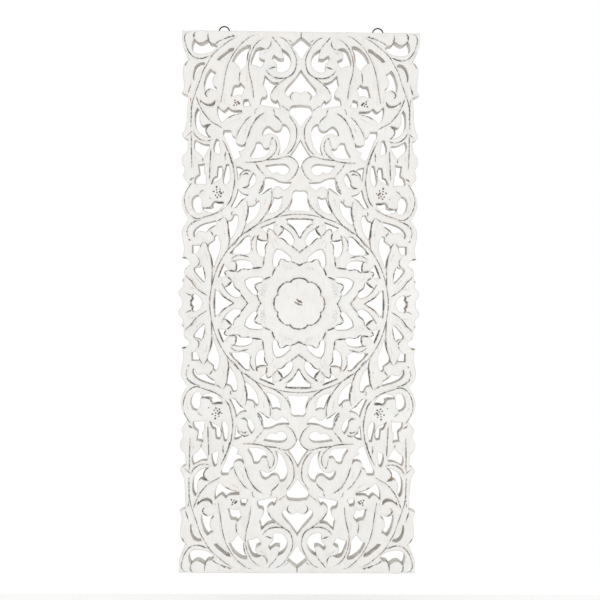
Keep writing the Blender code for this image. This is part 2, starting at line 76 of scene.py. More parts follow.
# A step: its depth, how far its high side and its low side reach, and how steeply they run out.
STEP_DEPTH = 2.7
LIP_WIDTH = 1.35
LIP_POWER = 1.4
SLOPE_WIDTH = 9.0
SLOPE_POWER = 1.5
# A line's end: how far a step goes past it, how near is still on the line, the run over which a line
# fades, and the share that stays.
END_REACH = 2.2
ON_LINE = 0.2
TAPER = 7.0
END_SHARE = 0.25
# Depth and width of the narrow lines.
NARROW_LINES = {"cut": (1.2, 1.2), "comb": (0.45, 1.1), "edge": (0.0, 1.0), "thin_edge": (0.0, 1.0)}
# The power by which the depths of lines that meet are joined.
BLEND_POWER = 4
# Share and width of the dark wax and painted shade in each kind of line. It is full over a quarter of its
# width.
LINE_WAX_AND_SHADE = {
    "bold": (1.1, 1.35),
    "step": (1.0, 1.0),
    "cut": (1.05, 1.0),
    "comb": (0.42, 1.1),
    "edge": (1.15, 2.4),
    "thin_edge": (0.85, 1.7),
}
WAX_AND_SHADE_CORE = 1.25
# How the dark wax and painted shade swell along a line: its middle share, and two waves as (share,
# radians a millimetre, radians from one line to the next).
WAX_AND_SHADE_MIDDLE = 0.8
WAX_AND_SHADE_WAVES = [(0.24, 0.21, 1.7), (0.16, 0.83, 1)]
# The wood beside a window: a narrow rounded rim, and a slow fall towards it.
RIM_WIDTH = 2.1
RIM_DROP = 1.1
PILLOW_WIDTH = 9.0
PILLOW_DROP = 0.9

# The round middle: eight rays, the flower and how far it is drawn in between its lobes, the ring.
RAYS = 8
RAY_ANGLE = 22.5
RAY_STEP = 45
FLOWER_RADIUS = 42.8
FLOWER_NOTCH = 3.9
RING_RADIUS = 150.8
RING_INSIDE = 143.4
# A bead beside a ray's tip, as (along, across), and the small button at the very middle.
BEAD_PLACE = (129.2, 14.3)
BEAD_RADIUS = 7.8
BUTTON_PLACE = (0.5, 2.5)
BUTTON_RADIUS = 5.2
BUTTON_RISE = 0.5
# A knife mark's depth and width, and its dark wax and painted shade, as the amount at its middle and the
# way over which 1 goes.
MARK_DEPTH = 0.9
MARK_WIDTH = 1.4
MARK_WAX_AND_SHADE = (1.8, 1.1)
# The radius of a dome's fall, and the greatest depth of wood that its edge takes on.
DOME_FALL = 1.9
DOME_EDGE = 2.6

# How far from a window its rim is worn and darkened at the arris by dark wax and painted shade, and how
# far an edge mark reaches.
RIM_REACH = 1.8
EDGE_REACH = 2.3
# Unevenness, each with the length of its waves and its seeds: in the places, in the depth, and left by
# the chisel. Each is the sum of this many waves.
DRIFT = 0.3
DRIFT_LENGTH = 70
DRIFT_SEEDS = (3, 4)
SWELL = 0.18
SWELL_LENGTH = 90
SWELL_SEED = 5
CHISEL = 0.07
CHISEL_LENGTH = 9
CHISEL_SEED = 6
WAVE_COUNT = 7
# Points that agree to this part of a millimetre are joined.
JOIN_PARTS = 1000
# Faces that meet at a larger angle than this keep a sharp edge.
SMOOTH_ANGLE = math.radians(48)
# What is kept for each point of the panel, column by column.
DEPTH, LINE, RIM, DIMPLE, RING = range(5)

# The wire, in metres: its diameter, how much thinner it is drawn, how deep its legs go into the panel
# and the height at which they do.
WIRE_DIAMETER = 0.0022
WIRE_SLACK = 0.00001
LEG_BITE = 0.007
FOOT = 0.440
# Points round the wire, on each bend, and on each half of the loop's arc.
WIRE_SIDES = 16
BEND_POINTS = 9
ARC_POINTS = 17
# The holes drilled in the back for the loops' legs, on the template.
HOLE_RADIUS = 1.42
HOLE_DEPTH = 7.3
HOLE_SIDES = 10

# The floor's height and its reach to each side, to the front and to the back.
FLOOR = -0.55
FLOOR_SIDE = 1.1
FLOOR_FRONT = -1.3
FLOOR_BACK = 0.12
# Lamps, as (name, place, watts, size).
LAMPS = [
    ("left_lamp", (-2.4, -2.6, 2.2), 7.0, 2.2),
    ("low_lamp", (0.3, -1.5, -0.3), 5.0, 0.9),
]
# The camera's place in metres, its three turns, and its lens in millimetres.
CAMERA_PLACE = (-0.0161, -1.2848, 0.0213)
CAMERA_TILT = math.radians(-0.683)
CAMERA_ROLL = math.radians(-0.461)
CAMERA_TURN = math.radians(-0.787)
CAMERA_LENS = 44.94

# Soft tints in the paint, pink, cool and smoky, as (scale, detail, where it starts, where it is full,
# share, colour).
TINTS = [
    (26.0, 3.0, 0.56, 0.74, 0.5, (0.755, 0.693, 0.655)),
    (19.0, 3.0, 0.56, 0.72, 0.4, (0.712, 0.731, 0.742)),
    (60.0, 5.0, 0.5, 0.75, 0.28, (0.575, 0.575, 0.547)),
]

# Windows of one quarter, as (across, up) on the template.
WINDOWS = {
    "beside_the_ring_bud": [
        (30, 181), (37, 178), (44, 179), (46, 172), (50, 163), (54, 154), (53, 151.5), (46, 153),
        (38, 157), (33, 165), (30.5, 173)],
    "over_the_ring_bud": [
        (15, 205), (28, 205), (36, 206.5), (43, 210), (50, 212.5), (59, 213), (60, 206), (61, 199), (64, 192),
        (70, 186.5), (66, 183.5), (60, 188), (54, 193), (48, 195.5), (46, 192), (42, 197), (36, 198),
        (31, 195), (28, 191), (19, 197)],
    "second_leaf_fork": [
        (87, 183), (95, 184.5), (101, 188), (105, 193), (107, 184), (112, 172), (116.5, 163), (113, 161),
        (108, 163), (103, 169), (98, 175), (92, 178.5)],
    "second_leaf_back": [
        (70, 174), (74, 170), (77, 166), (82, 164.5), (87, 164), (87, 155), (89, 145), (91, 137),
        (88, 133.5), (81, 139), (74, 147), (69, 158), (67.5, 168)],
    "third_leaf_back": [
        (106, 149), (111, 150), (113, 145), (116, 140.5), (122, 138.5), (121, 130), (119.5, 120),
        (118.5, 112), (117, 108.5), (112, 115), (107, 124), (104.5, 135), (104, 143)],
    "fourth_leaf_back": [
        (141, 115), (144, 113), (144.5, 107), (149, 103), (154, 99), (155, 93), (151, 82), (148, 72),
        (146, 62), (144.5, 61), (141, 72), (137, 82), (134, 94), (135, 104), (138, 112)],
    "side_leaf_square": [(168, 97.5), (181, 97.5), (181, 84), (173, 83), (169.5, 90)],
    "side_leaf_eye": [
        (166, 64), (170, 60.5), (177, 59.5), (178, 56), (174, 49), (168, 42), (161, 35), (159.5, 40),
        (161, 50), (163, 59)],
    "under_the_scroll": [
        (141.5, 139.5), (150, 137), (160, 134), (169, 130), (176, 124.5), (179.5, 117), (178, 111),
        (175, 116), (171, 121.5), (164, 121), (158, 120), (152, 126), (146, 130), (141, 133)],
    "scroll_hollow_outer": [
        (172, 182), (178, 179.5), (182, 173), (182, 165), (179, 157), (174, 152), (168, 151), (165, 155),
        (166, 165), (166, 173), (169, 178)],
    "scroll_hollow_inner": [
        (128.5, 170), (138, 169), (145, 171), (147.5, 168), (147, 162.5), (151, 160.5), (157, 160),
        (164, 161), (162, 157), (156, 154), (150, 152.5), (143, 153), (136, 158), (131, 164)],
    "stem_slot_inner": [
        (121, 234), (125, 233.5), (127, 224), (129, 214), (130, 208), (128, 201), (126, 198.5), (121, 204),
        (118.5, 212), (119, 222)],
    "stem_slot_middle": [
        (133, 231), (138.5, 230), (139.5, 222), (140, 214), (145, 212), (148, 206), (150, 200), (145, 203),
        (138, 207), (133, 211), (131, 218), (131.5, 226)],
    "stem_slot_outer": [
        (161, 235.5), (167, 233.5), (172, 233), (170.5, 225), (170.5, 217), (175, 213.5), (177.5, 208),
        (177.5, 201), (172, 200.5), (163, 200.5), (158, 199), (159, 207), (159, 214), (162, 220),
        (161.5, 228)],
    "bud_crown": [
        (108, 231), (100, 229), (95, 225), (98, 222.5), (102, 219), (103, 210), (105, 208), (106.5, 218)],
    "bud_crescent": [
        (79, 221), (83, 214), (86, 207), (86.5, 201), (91, 197), (97, 195.5), (90, 193.5), (83, 196),
        (77, 201), (74.5, 208), (75, 215)],
    "teardrop": [
        (58.5, 232.5), (45, 234.5), (32, 235.5), (24, 234.5), (19.5, 230), (19, 225), (22, 220), (28, 217),
        (34, 218), (38, 222), (43, 220), (48, 220.5), (53, 226)],
    "low_scroll_hollow": [
        (19, 293), (24, 301), (30, 303), (31, 298), (34, 293), (39, 291), (44, 292), (49, 296), (54, 299),
        (59, 297), (63, 291), (65, 284), (60, 284.5), (53, 287), (46, 286), (39, 281), (35, 273),
        (34, 263), (37, 253), (38, 250), (31, 254), (24, 262), (20, 273), (18, 284)],
    "low_scroll_shoulder": [
        (53, 263), (58, 261), (63, 264), (66, 270), (70, 272), (75, 271), (77, 263), (81, 255), (85, 249),
        (83, 246), (74, 245), (65, 246), (57, 250), (53, 257)],
    "under_the_finger_leaf": [
        (92, 272), (95, 268), (103, 267), (108, 270), (110, 280), (114, 282), (118, 291), (129, 291),
        (130, 286), (126, 277), (121, 265), (117, 254), (112, 242), (107, 243), (101, 248), (104, 256),
        (98, 258), (94, 263)],
    "top_scroll_hollow": [
        (33, 429), (27, 425.5), (21, 420), (17.5, 411), (17.5, 403), (21, 396), (27, 391.5), (35, 389.5),
        (40, 391), (41, 397), (41, 403), (45, 408), (49, 413), (46, 418.5), (42, 415.5), (36, 412),
        (29, 413), (31, 421)],
    "top_scroll_shoulder": [
        (61, 428.5), (68, 431), (75, 429), (80, 420), (84, 407), (84, 402), (76, 401), (68, 397),
        (65, 401), (61, 409), (66, 412), (70, 414), (71, 420), (67, 426)],
    "second_arch_window": [
        (85, 434.5), (91, 434), (99, 430), (107, 423), (113, 413), (115.5, 407), (111, 405), (106, 400),
        (101, 392.5), (97, 396), (92.5, 404), (91.5, 414), (89.5, 424), (86, 430)],
    "third_arch_slot": [
        (113, 430), (118, 429), (128, 422), (138, 413.5), (141.5, 409), (136, 408), (128, 413),
        (120, 420), (114, 426)],
    "corner_window": [
        (141, 432), (147, 436.5), (152, 437), (157, 443.5), (161, 441), (165, 438.5), (171, 437.5),
        (176, 440), (180, 444), (183, 436), (183, 426), (178, 420.5), (168, 419), (158, 420), (150, 423.5),
        (144, 428.5)],
    "outer_arch_slot": [
        (162, 404), (168, 405), (175, 401), (180, 392), (181.5, 383), (181, 376), (178, 375.5), (177, 383),
        (173.5, 391), (168, 397), (163, 400.5)],
    "over_the_ball": [
        (143, 388), (148, 390.5), (152.5, 394), (157, 388), (161, 378), (163, 367), (162, 358), (159, 359),
        (153, 361.5), (147, 360), (142.5, 357), (142, 362), (147, 367), (149, 374), (147, 382)],
    "under_the_ball": [
        (144, 341.5), (148.5, 337), (155, 335), (163, 337), (170, 342.5), (169, 338), (163, 332),
        (155, 329.5), (149, 331), (145, 335)],
    "under_the_pod": [
        (99, 325), (105, 325), (112, 325), (118, 326.5), (122, 330.5), (125, 327), (129, 323.5), (133, 326),
        (140, 333), (140.5, 326), (138, 314), (135, 308), (132, 304), (125, 311), (117, 316), (108, 319),
        (99, 320)],
    "side_crescent": [
        (173.5, 328), (176.5, 322), (178, 310), (177, 299), (173, 291), (167, 284.5), (160, 280.5),
        (151, 279), (156, 282.5), (160, 288), (160, 294), (155, 298.5), (151, 301), (158, 300.5),
        (164, 298), (168, 301), (170.5, 311), (170, 321)],
    "between_the_stems": [
        (153, 264), (154, 267.5), (163, 268), (170, 271), (177, 275), (178.5, 272), (178.5, 260), (174, 255),
        (168, 250), (164, 245), (160, 250), (156, 257)],
    "stem_fork": [
        (138, 275), (141.5, 277), (144.5, 270), (146, 261), (145, 254.5), (140, 252.5), (135.5, 250.5),
        (135, 257), (137, 267)],
    "heart_side": [
        (37, 373), (45, 373), (52, 376), (57, 381), (61, 384), (62, 376), (64, 369), (62, 365), (58, 358),
        (57, 352), (60, 348), (65, 347), (68, 340), (68, 335), (58, 333), (50, 331.5), (42, 330),
        (35, 328.5), (37, 338), (40, 343), (43, 340), (48, 343), (52, 349), (49, 359), (44, 366)],
    "over_the_pod": [
        (95, 363), (98, 367), (101, 371), (105, 368), (112, 367), (114.5, 362), (116, 355), (118, 348.5),
        (112, 349.5), (104, 351.5), (98.5, 350), (97.5, 356)],
    "beside_the_pod": [(84, 333), (87, 339), (88.5, 344), (95.5, 343), (97, 337), (96, 332), (90, 331.5)],
}
# Half windows on the panel's upright middle line, from top to bottom.
MIDDLE_WINDOWS = {
    "top_diamond": [(0, 449), (7, 444), (13, 439), (17, 437), (13, 431), (8, 424), (3, 416), (0, 412)],
    "heart": [
        (0, 394), (7, 384), (15, 374), (22, 366), (26, 359), (25, 352), (21, 349), (18, 353),
        (13, 357.5), (8, 358), (3, 356), (0, 354)],
    "under_the_heart": [(0, 335), (9, 334), (15, 333), (19, 327), (18, 320), (13, 315), (6, 307), (0, 298)],
    "low_diamond": [(0, 277), (8, 263), (17, 250), (11, 246), (5, 240), (2, 234), (0, 229)],
    "over_the_ring": [
        (0, 191), (9, 191), (12, 188), (12, 178), (15, 168), (19, 160), (17, 157.5), (0, 157.5)],
}
# The half window on the level middle line, from the ring outwards.
SIDE_WINDOW = [(163, 0), (166, 7), (171, 12.5), (179, 15), (181, 11), (179, 7), (182, 3), (183, 0)]

# Windows of the round middle, as (along, across) on a ray of the star.
STAR_WINDOW = [(100, 0), (95, 7), (86, 12.5), (77, 16), (72, 15), (73.5, 9), (78, 6), (82.5, 0)]
TIP_WINDOW = [(143.5, 0), (143.5, 11.5), (136, 8.5), (131.5, 5.5), (135, 3.5), (137.6, 0)]
STAR_SIDE_WINDOW = [
    (96, 27.5), (101, 31.5), (111, 32.5), (121, 29), (128, 24.5), (123.5, 20.6), (120.5, 14.5), (119.5, 10),
    (116.4, 9.2), (114.3, 14.5), (109.4, 18.4), (102, 20.6), (97, 24)]
UPRIGHT_TRIANGLE = [(112, 0), (121, 5), (131, 12), (138, 21), (143, 20), (143, 0)]
DIAGONAL_TRIANGLE = [(120, 0), (124, 7), (135, 17), (138.5, 21.5), (141.5, 19), (143, 0)]

# The panel's edge in one quarter, from the level middle line up to the corner and along the top.
SIDE_EDGE = [
    (197, 0), (198, 6), (203, 13), (203.5, 19), (197, 27), (195.5, 31), (198, 37), (194, 44), (194.5, 52),
    (192, 59), (188, 62.5), (184.5, 66), (186, 71), (190, 74), (198, 75.5), (196, 82), (195, 92), (197, 105),
    (199, 116), (197, 127), (192, 135), (187.5, 141), (191, 146), (196, 156), (199, 168), (197.5, 181),
    (192, 192), (188, 198), (190, 203), (194, 208), (197, 214), (195, 222), (194.5, 227), (198, 233),
    (199.5, 240), (197, 249), (191.5, 256), (190, 264), (189, 275), (196, 278), (199, 282), (195, 291),
    (192, 303), (191, 320), (190, 335), (189, 349), (194, 350.5), (200, 353), (197, 360), (197, 372),
    (198.5, 388), (198, 398), (194, 404.5), (188, 409), (192, 415), (197, 426), (200, 438), (200, 458),
    (0, 458)]

# Carved steps of one quarter: the wood on the left of a line, going along it, stands over the right.
STEPS = {
    "top_scroll_rim": [
        (40, 449.5), (30, 446), (21, 438), (13, 425), (8, 412), (8.5, 400), (12, 390), (20, 383),
        (30, 380), (42, 380.5), (52, 385), (60, 394)],
    "first_arch": [
        (79, 343), (80.5, 358), (83, 372), (87, 388), (88.3, 402), (85.5, 418), (80, 431), (71, 441.5),
        (61, 447.5)],
    "second_arch": [
        (135, 335), (133, 347), (130.5, 362), (129, 375), (126, 390), (121.5, 405), (115, 418),
        (107, 430), (97, 440), (85, 449), (75, 452)],
    "third_arch": [
        (184.5, 318), (181.5, 340), (176.3, 356), (170.5, 372), (164.5, 390), (156.5, 404.7), (147.3, 419.3),
        (134.2, 431), (120.2, 442), (107.4, 449)],
    "corner_scroll_rim": [
        (150, 417), (157.5, 414), (169, 411), (180, 413.5), (189, 423), (194.5, 437), (196, 447),
        (192.5, 454), (184, 457)],
    "heart_stem": [(19, 384), (31, 375.5), (41, 367), (47.5, 359.5), (50.5, 350)],
    "heart_base": [(36, 336), (27, 330), (17, 323)],
    "finger_leaf_left": [
        (57.5, 323.5), (67.7, 317.3), (76.9, 307.7), (84.5, 294.5), (89, 281.3), (91.5, 273)],
    "finger_leaf_right": [(108, 277), (106.5, 284), (99.5, 298), (90.5, 310), (82, 317)],
    "low_scroll_rim": [(20, 318), (13.5, 308.5), (8, 299), (6.5, 287), (9.5, 270), (16.5, 258), (26, 249.5)],
    "teardrop_rim": [
        (22, 206), (12, 213), (5, 224), (3, 232), (6, 240), (14, 247), (20, 248.5), (28, 247),
        (38, 244), (48, 243), (70, 239), (97, 238)],
    "low_curl": [(64.7, 240.5), (54.5, 243.7), (47, 249.5), (41.5, 257), (39.8, 264), (41.2, 272), (44, 278)],
    "high_stem": [
        (177, 350), (171.5, 335), (165.5, 323), (158, 313), (149, 304.5), (138, 298.5), (129, 293)],
    "side_cup": [(147, 276), (158, 273), (168, 275), (176, 281), (183, 293)],
    "inner_stem": [
        (132, 277.5), (124, 261.5), (117.5, 247), (112.5, 225), (110.8, 205), (113, 189.6), (118.2, 172),
        (125.5, 162)],
    "outer_stem": [(150.6, 262), (151.8, 240), (152.9, 205)],
    "side_stem": [(183.8, 286), (183.8, 262), (182.8, 226)],
    "big_scroll_rim": [
        (126, 162.5), (134, 156), (145, 150.3), (158, 146), (175, 142), (186, 149), (193, 163),
        (194.5, 178), (190, 192), (180, 206)],
    "scroll_underside": [(127.6, 146.3), (134, 141.8), (140.6, 137.8)],
    "first_leaf": [(13, 181), (15.6, 169.5), (22.5, 160), (34, 150), (43, 145.2), (55, 140.5)],
    "second_leaf": [
        (48, 194), (47.4, 178), (52, 162), (57.5, 152.2), (66.5, 139.6), (77.6, 128), (92.7, 117.5)],
    "third_leaf": [
        (91, 176.3), (87.8, 163), (87.8, 147), (91.3, 132.7), (97, 118), (105, 106.3), (114, 95.3)],
    "fourth_leaf": [(128.5, 148), (122.5, 137), (120.3, 119), (119, 103), (122, 89)],
    "fifth_leaf": [(160.6, 104.6), (155.2, 96.7), (150.2, 80), (147.6, 60), (148.2, 35), (150, 12)],
    "leaf_to_square": [(169, 92), (165, 100), (160.5, 105)],
    "side_leaf": [(193, 51), (190, 44), (183, 37.5), (176, 28), (171, 23), (162, 16.5), (154, 12)],
    "ball_rim": [(148, 360), (154, 360), (159, 356.5), (160.5, 351), (157.5, 347), (153.5, 344.6)],
    "heart_ball_rim": [(9, 356), (14, 354.7), (17.3, 350), (16.8, 345), (13, 341.5)],
    "low_curl_eye": [(43, 277), (47.5, 279), (50, 274), (50.5, 268.5), (54, 264)],
    "side_bead_rim": [(175.5, 82), (171.3, 77), (168.5, 70), (171, 63.5), (177, 60.5)],
    "bud_crown_rim": [(82, 221), (85.7, 224), (91, 225), (96.3, 221.6)],
    "top_bud_rim": [(51, 443), (51.3, 436), (55.5, 430), (62, 428)],
    "scroll_tip": [(161, 190.5), (165, 189.5), (169, 186), (172, 182)],
    "small_curl": [(149, 171), (148.5, 164.3), (152.6, 161.4), (160, 161)],
}
# Narrow cuts of one quarter.
CUTS = {
    "diagonal_flare": [(73, 116), (78, 110.5), (81.5, 103), (81.5, 94), (78, 86)],
    "diagonal_flare_low": [(116, 73), (110.5, 78), (103, 81), (94, 80), (84, 77)],
    "upright_flare": [(0.4, 111.5), (6.8, 121.5), (12.4, 128.6), (19, 133.6), (25.5, 135.8)],
    "level_flare": [(111.5, 0.4), (121.5, 6.8), (128.6, 12.4), (133.6, 19), (135.8, 25.5)],
    "second_arch_vein": [(102, 391.5), (103.5, 382), (103.5, 373), (101.5, 367.5)],
    "top_seam": [(0, 457), (0, 451), (0, 446)],
    "diamond_line": [(22, 445.5), (17.5, 441.5), (13.5, 438.8)],
    "corner_seam": [(156.5, 457), (156.8, 447), (154, 439), (146, 432.5)],
    "corner_petal": [(176.5, 457), (180.5, 451.5), (180.5, 445), (177, 439.5)],
    "teardrop_stalk": [(58, 213.5), (66, 223), (72, 231), (76, 238)],
    "bud_ring": [(61.5, 213), (61.5, 205), (64, 196), (70.5, 187)],
    "bud_line": [(85, 216), (91, 219), (98, 216)],
    "middle_stem": [(126, 256), (126.8, 245), (126.5, 237)],
    "inner_stem_vein": [(126, 262), (119, 248), (115.5, 232)],
    "outer_stem_vein": [(165, 245), (163.5, 237)],
    "side_stem_vein": [(178, 212), (186, 206)],
    "side_cup_tail": [(181.6, 289.6), (187.6, 283.6), (194, 278.5)],
    "scroll_tail": [(162, 140.5), (172, 138.5), (181, 135), (187.5, 128.5), (190, 120), (188, 110)],
    "corner_arch": [(108, 450.7), (124, 446.5), (137.5, 440.5), (147.5, 433.5)],
    "top_bud_left": [(50, 449.5), (42.5, 441), (36, 433.5), (32.5, 427.5)],
    "side_stem_high": [(184, 294), (184, 310), (184, 330), (186, 348)],
    "edge_leaf": [(184, 373), (187, 360), (190.5, 351)],
    "edge_leaf_top": [(186, 412), (192, 405), (196, 397)],
    "leaf_eye_one": [(151, 122), (147, 116.5), (145, 113)],
    "leaf_eye_two": [(73.5, 178), (74.5, 173), (73, 170)],
    "leaf_eye_three": [(112.5, 157), (115, 151), (113, 147)],
    "side_eye": [(184, 104), (188, 108)],
    "side_window_line": [(181, 13), (187, 14.5), (191, 17.5)],
    "side_tip": [(196.5, 37.5), (193.5, 38.5)],
    "bead_tip": [(192.5, 58.5), (189.5, 58)],
    "lobe_dash": [(153, 175.5), (150.5, 178)],
    "arch_base": [(47, 329), (44, 321), (45, 315)],
    "leaf_base": [(72, 330), (76, 325), (77, 318)],
    "low_scroll_inner": [(46, 320), (40.5, 314), (34, 308), (31, 301.5)],
    "bud_stem": [(42, 399), (48, 396.5), (57, 394.5)],
}
# Faint strokes of one quarter, left by a comb or a worn cut.
COMBS = {
    "side_leaf_one": [(160, 21.5), (170, 28), (180, 38.5), (187, 51)],
    "side_leaf_two": [(160, 28.5), (170, 37), (177.5, 47), (183, 56)],
    "side_leaf_low": [(172, 24), (182, 25), (190, 22)],
    "finger_comb_one": [(128.5, 298.5), (119, 304), (106.5, 309.5), (97, 315)],
    "finger_comb_two": [(64, 321), (72, 316), (80, 306)],
    "finger_comb_three": [(86, 303.5), (93, 291), (97.5, 279)],
    "heart_leaf_one": [(50, 384), (42, 378), (33, 378.5)],
    "heart_leaf_two": [(60, 340), (51, 337), (43, 336)],
    "first_leaf_comb": [(26, 175), (30, 163), (38, 154)],
    "second_leaf_comb": [(57, 182), (60, 167), (67, 153)],
    "third_leaf_comb": [(98, 170), (94.5, 155), (96, 141)],
    "fourth_leaf_comb": [(131, 136), (127, 122), (126, 108)],
    "fifth_leaf_comb": [(163, 92), (157, 80), (154, 65)],
    "scroll_comb_one": [(182, 186), (187.5, 176), (187, 163), (181, 151)],
    "scroll_comb_two": [(166, 146), (154, 149.3), (143, 152.5)],
    "pod_underside": [(126.5, 178), (131, 173.8), (138, 172), (145, 173.8), (149.5, 178)],
    "lobe_underside": [(148.5, 161), (155, 159), (161, 161.5)],
    "small_pod_ring": [(105, 349.8), (99.5, 347.3), (95.6, 341.5), (95.6, 334), (99, 328.7)],
    "low_curl_ball": [(66, 279), (61, 283), (54, 283), (49, 279.5)],
    "corner_comb_one": [(184, 409), (192, 419), (197, 432)],
    "bottom_curl": [(68, 416.5), (62, 421), (55, 425), (48, 430.5)],
    "edge_comb": [(191, 330), (190, 345), (194, 357)],
    "arch_leaf_one": [(128.4, 356), (128.2, 343), (128.6, 331)],
    "arch_leaf_two": [(139.5, 353), (139.8, 344), (139, 334)],
    "first_arch_leaf": [(92, 386), (90.5, 372), (88, 358)],
    "stem_comb_one": [(146, 250), (146.5, 238), (146, 226)],
    "stem_comb_two": [(175, 262), (177, 247), (176.5, 236)],
}
# Dark marks at the windows' edges that have no depth of their own: dark wax and painted shade of the walls.
EDGES = {
    "side_window": [(181, 13), (179.5, 7.5), (182.5, 3), (183, 0)],
    "triangle_side": [(0, 112), (5, 121), (12, 131)],
    "level_triangle_side": [(112, 0), (121, 5), (131, 12)],
    "fan_top": [(125, 311), (117, 316), (108, 319), (99, 320)],
    "fork_edge": [(113, 161), (108, 163), (103, 169), (98, 175), (92, 178.5)],
    "over_bud_edge": [(66, 183.5), (60, 188), (54, 193), (48, 195.5)],
    "under_scroll_edge": [(158, 120), (152, 126), (146, 130), (141, 133)],
    "second_leaf_edge": [(87, 164), (87, 155), (89, 145), (91, 137)],
    "first_leaf_edge": [(46, 172), (50, 163), (54, 154)],
    "third_leaf_edge": [(120, 130), (119.5, 120), (118.5, 112), (117, 108.5)],
    "fifth_leaf_edge": [(160, 38), (161, 50), (163, 59), (166, 64)],
    "horn_tip": [(190, 74), (194, 75), (198, 75.5)],
    "crescent_hook": [(151, 279), (156, 282.5), (160, 288), (160, 294), (155, 298.5), (151, 301)],
    "crown_edge": [(95, 225), (98, 222.5), (102, 219), (103, 210)],
    "scroll_hook": [(128.5, 170), (138, 169), (145, 171)],
    "slot_edge": [(133, 231), (131.5, 226), (131, 218), (133, 211)],
    "arch_edge": [(85, 434.5), (86, 430), (89.5, 424), (91.5, 414), (92.5, 404)],
}
# Carved steps of the round middle, as (along, across) on a ray of the star.
RAY_STEPS = [
    [(73, 13), (70.5, 14.8), (66.2, 19.6), (59.6, 24.7)],
    [(98, 23.5), (93, 26), (87, 29.3), (80.4, 33.3)],
    [(119.5, 9.3), (123, 7.4), (126, 6.6), (131.5, 5.3)],
]
RAY_CUTS = [[(128, 24.5), (130.5, 22.8), (134, 19)]]
RAY_COMBS = [
    [(57, 1.4), (65, 1.5), (75, 1.6)],
    [(58, 4.4), (65, 4.5), (72.5, 4.7)],
    [(57.5, 7.6), (63, 8), (70.5, 8.4)],
    [(56, 10.8), (61, 11.4), (67, 12.2)],
    [(100, 4.5), (110, 3.4), (122, 2)],
    [(135.5, 9.5), (137, 13.5), (135.8, 18)],
]
RAY_EDGES = [
    [(73.5, 13.5), (73.5, 9), (78, 6), (82.5, 0)],
    [(119.5, 9.5), (116.4, 9.2), (114.3, 14.5), (109.4, 18.4), (102, 20.6), (97, 24)],
    [(128, 24.5), (123.5, 20.6), (120.5, 14.5), (119.5, 10)],
    [(131.5, 5.5), (135, 3.5), (137.6, 0)],
]
# Marks at the very middle, on the whole template, as strokes of (across, up).
MIDDLE_MARKS = [
    [(-3.4, 7.0), (0.3, 3.0)],
    [(1.7, 4.4), (4.0, 1.9)],
    [(-6.4, 2.0), (-0.6, -1.7), (3.8, -2.1)],
]

# Low domes, as (across, up, radius) on the template.
DOMES = [
    (38, 188.5, 9.0), (151, 350, 9.6), (9, 349, 9.0), (177, 70.5, 10.5), (191, 240, 8.5), (155, 168, 8.5),
    (57, 274, 9.0), (168.5, 449.5, 12.5)]
# Seed pods, as (across, up, radius, reach of the dimples, dimples, radius of a dimple) on the template.
PODS = [(138, 186, 14.0, 9.4, 12, 2.05), (108.5, 337.3, 12.0, 6.0, 6, 2.15)]
# The angle between one dimple and the next, in radians.
GOLDEN_ANGLE = 2.39996
DIMPLE_DEPTH = 1.5


def smooth_curve(points, closed, spacing):
    """Runs a Hermite curve through the points and reads it about every spacing.

    Each knot's tangent is the mean of its two chords, weighted towards the shorter one. A knot
    where the chords turn by more than SHARP_TURN has no tangent of its own and stays a corner.
    """
    knots = np.array(points, dtype=float)
    into = knots - np.roll(knots, 1, axis=0)
    out = np.roll(knots, -1, axis=0) - knots
    into_length = np.maximum(np.linalg.norm(into, axis=1), TINY)[:, None]
    out_length = np.maximum(np.linalg.norm(out, axis=1), TINY)[:, None]
    heading = np.arctan2(out[:, 1], out[:, 0]) - np.arctan2(into[:, 1], into[:, 0])
    sharp = np.abs((heading + math.pi) % (2 * math.pi) - math.pi) > SHARP_TURN
    if not closed:
        sharp[[0, -1]] = True
    tangent = (into / into_length * out_length + out / out_length * into_length) / (into_length + out_length)
    pieces = []
    for i in range(len(knots) if closed else len(knots) - 1):
        j = (i + 1) % len(knots)
        chord = knots[j] - knots[i]
        length = np.linalg.norm(chord)
        count = max(1, round(length / spacing))
        share = np.arange(count)[:, None] / count
        start = chord if sharp[i] else tangent[i] * length
        end = chord if sharp[j] else tangent[j] * length
        pieces.append(
            knots[i] * (2 * share**3 - 3 * share**2 + 1)
            + start * (share**3 - 2 * share**2 + share)
            + knots[j] * (3 * share**2 - 2 * share**3)
            + end * (share**3 - share**2)
        )
    if not closed:
        pieces.append(knots[-1:])
    return np.concatenate(pieces)


def turned(points, degrees):
    """Turns points about the panel's middle."""
    cosine = math.cos(math.radians(degrees))
    sine = math.sin(math.radians(degrees))
    return [(x * cosine - y * sine, x * sine + y * cosine) for x, y in points]


def flipped(points):
    """Mirrors points over their ray or the level line, keeping the way round."""
    return [(x, -y) for x, y in reversed(points)]


def whole_window(half):
    """Closes a half window, whose two ends lie on its ray."""
    return half + flipped(half)[1:-1]


def quarter_outlines():
    """Lists the outlines that touch the first quarter.

    They are closed curves, and half curves that end on the quarter's sides.
    """
    closed = list(WINDOWS.values())
    for ray in (RAY_ANGLE, RAY_ANGLE + RAY_STEP):
        closed += [turned(whole_window(half), ray) for half in (STAR_WINDOW, TIP_WINDOW)]
        closed += [turned(STAR_SIDE_WINDOW, ray), turned(flipped(STAR_SIDE_WINDOW), ray)]
    closed.append(turned(whole_window(DIAGONAL_TRIANGLE), RAY_STEP))
    curves = [smooth_curve(loop, True, EDGE_SPACING) for loop in closed]
    curves = [np.vstack([curve, curve[:1]]) for curve in curves]
    halves = list(MIDDLE_WINDOWS.values()) + [SIDE_WINDOW, UPRIGHT_TRIANGLE]
    halves.append([(y, x) for x, y in UPRIGHT_TRIANGLE])
    return curves + [smooth_curve(half, False, EDGE_SPACING) for half in halves + [SIDE_EDGE]]


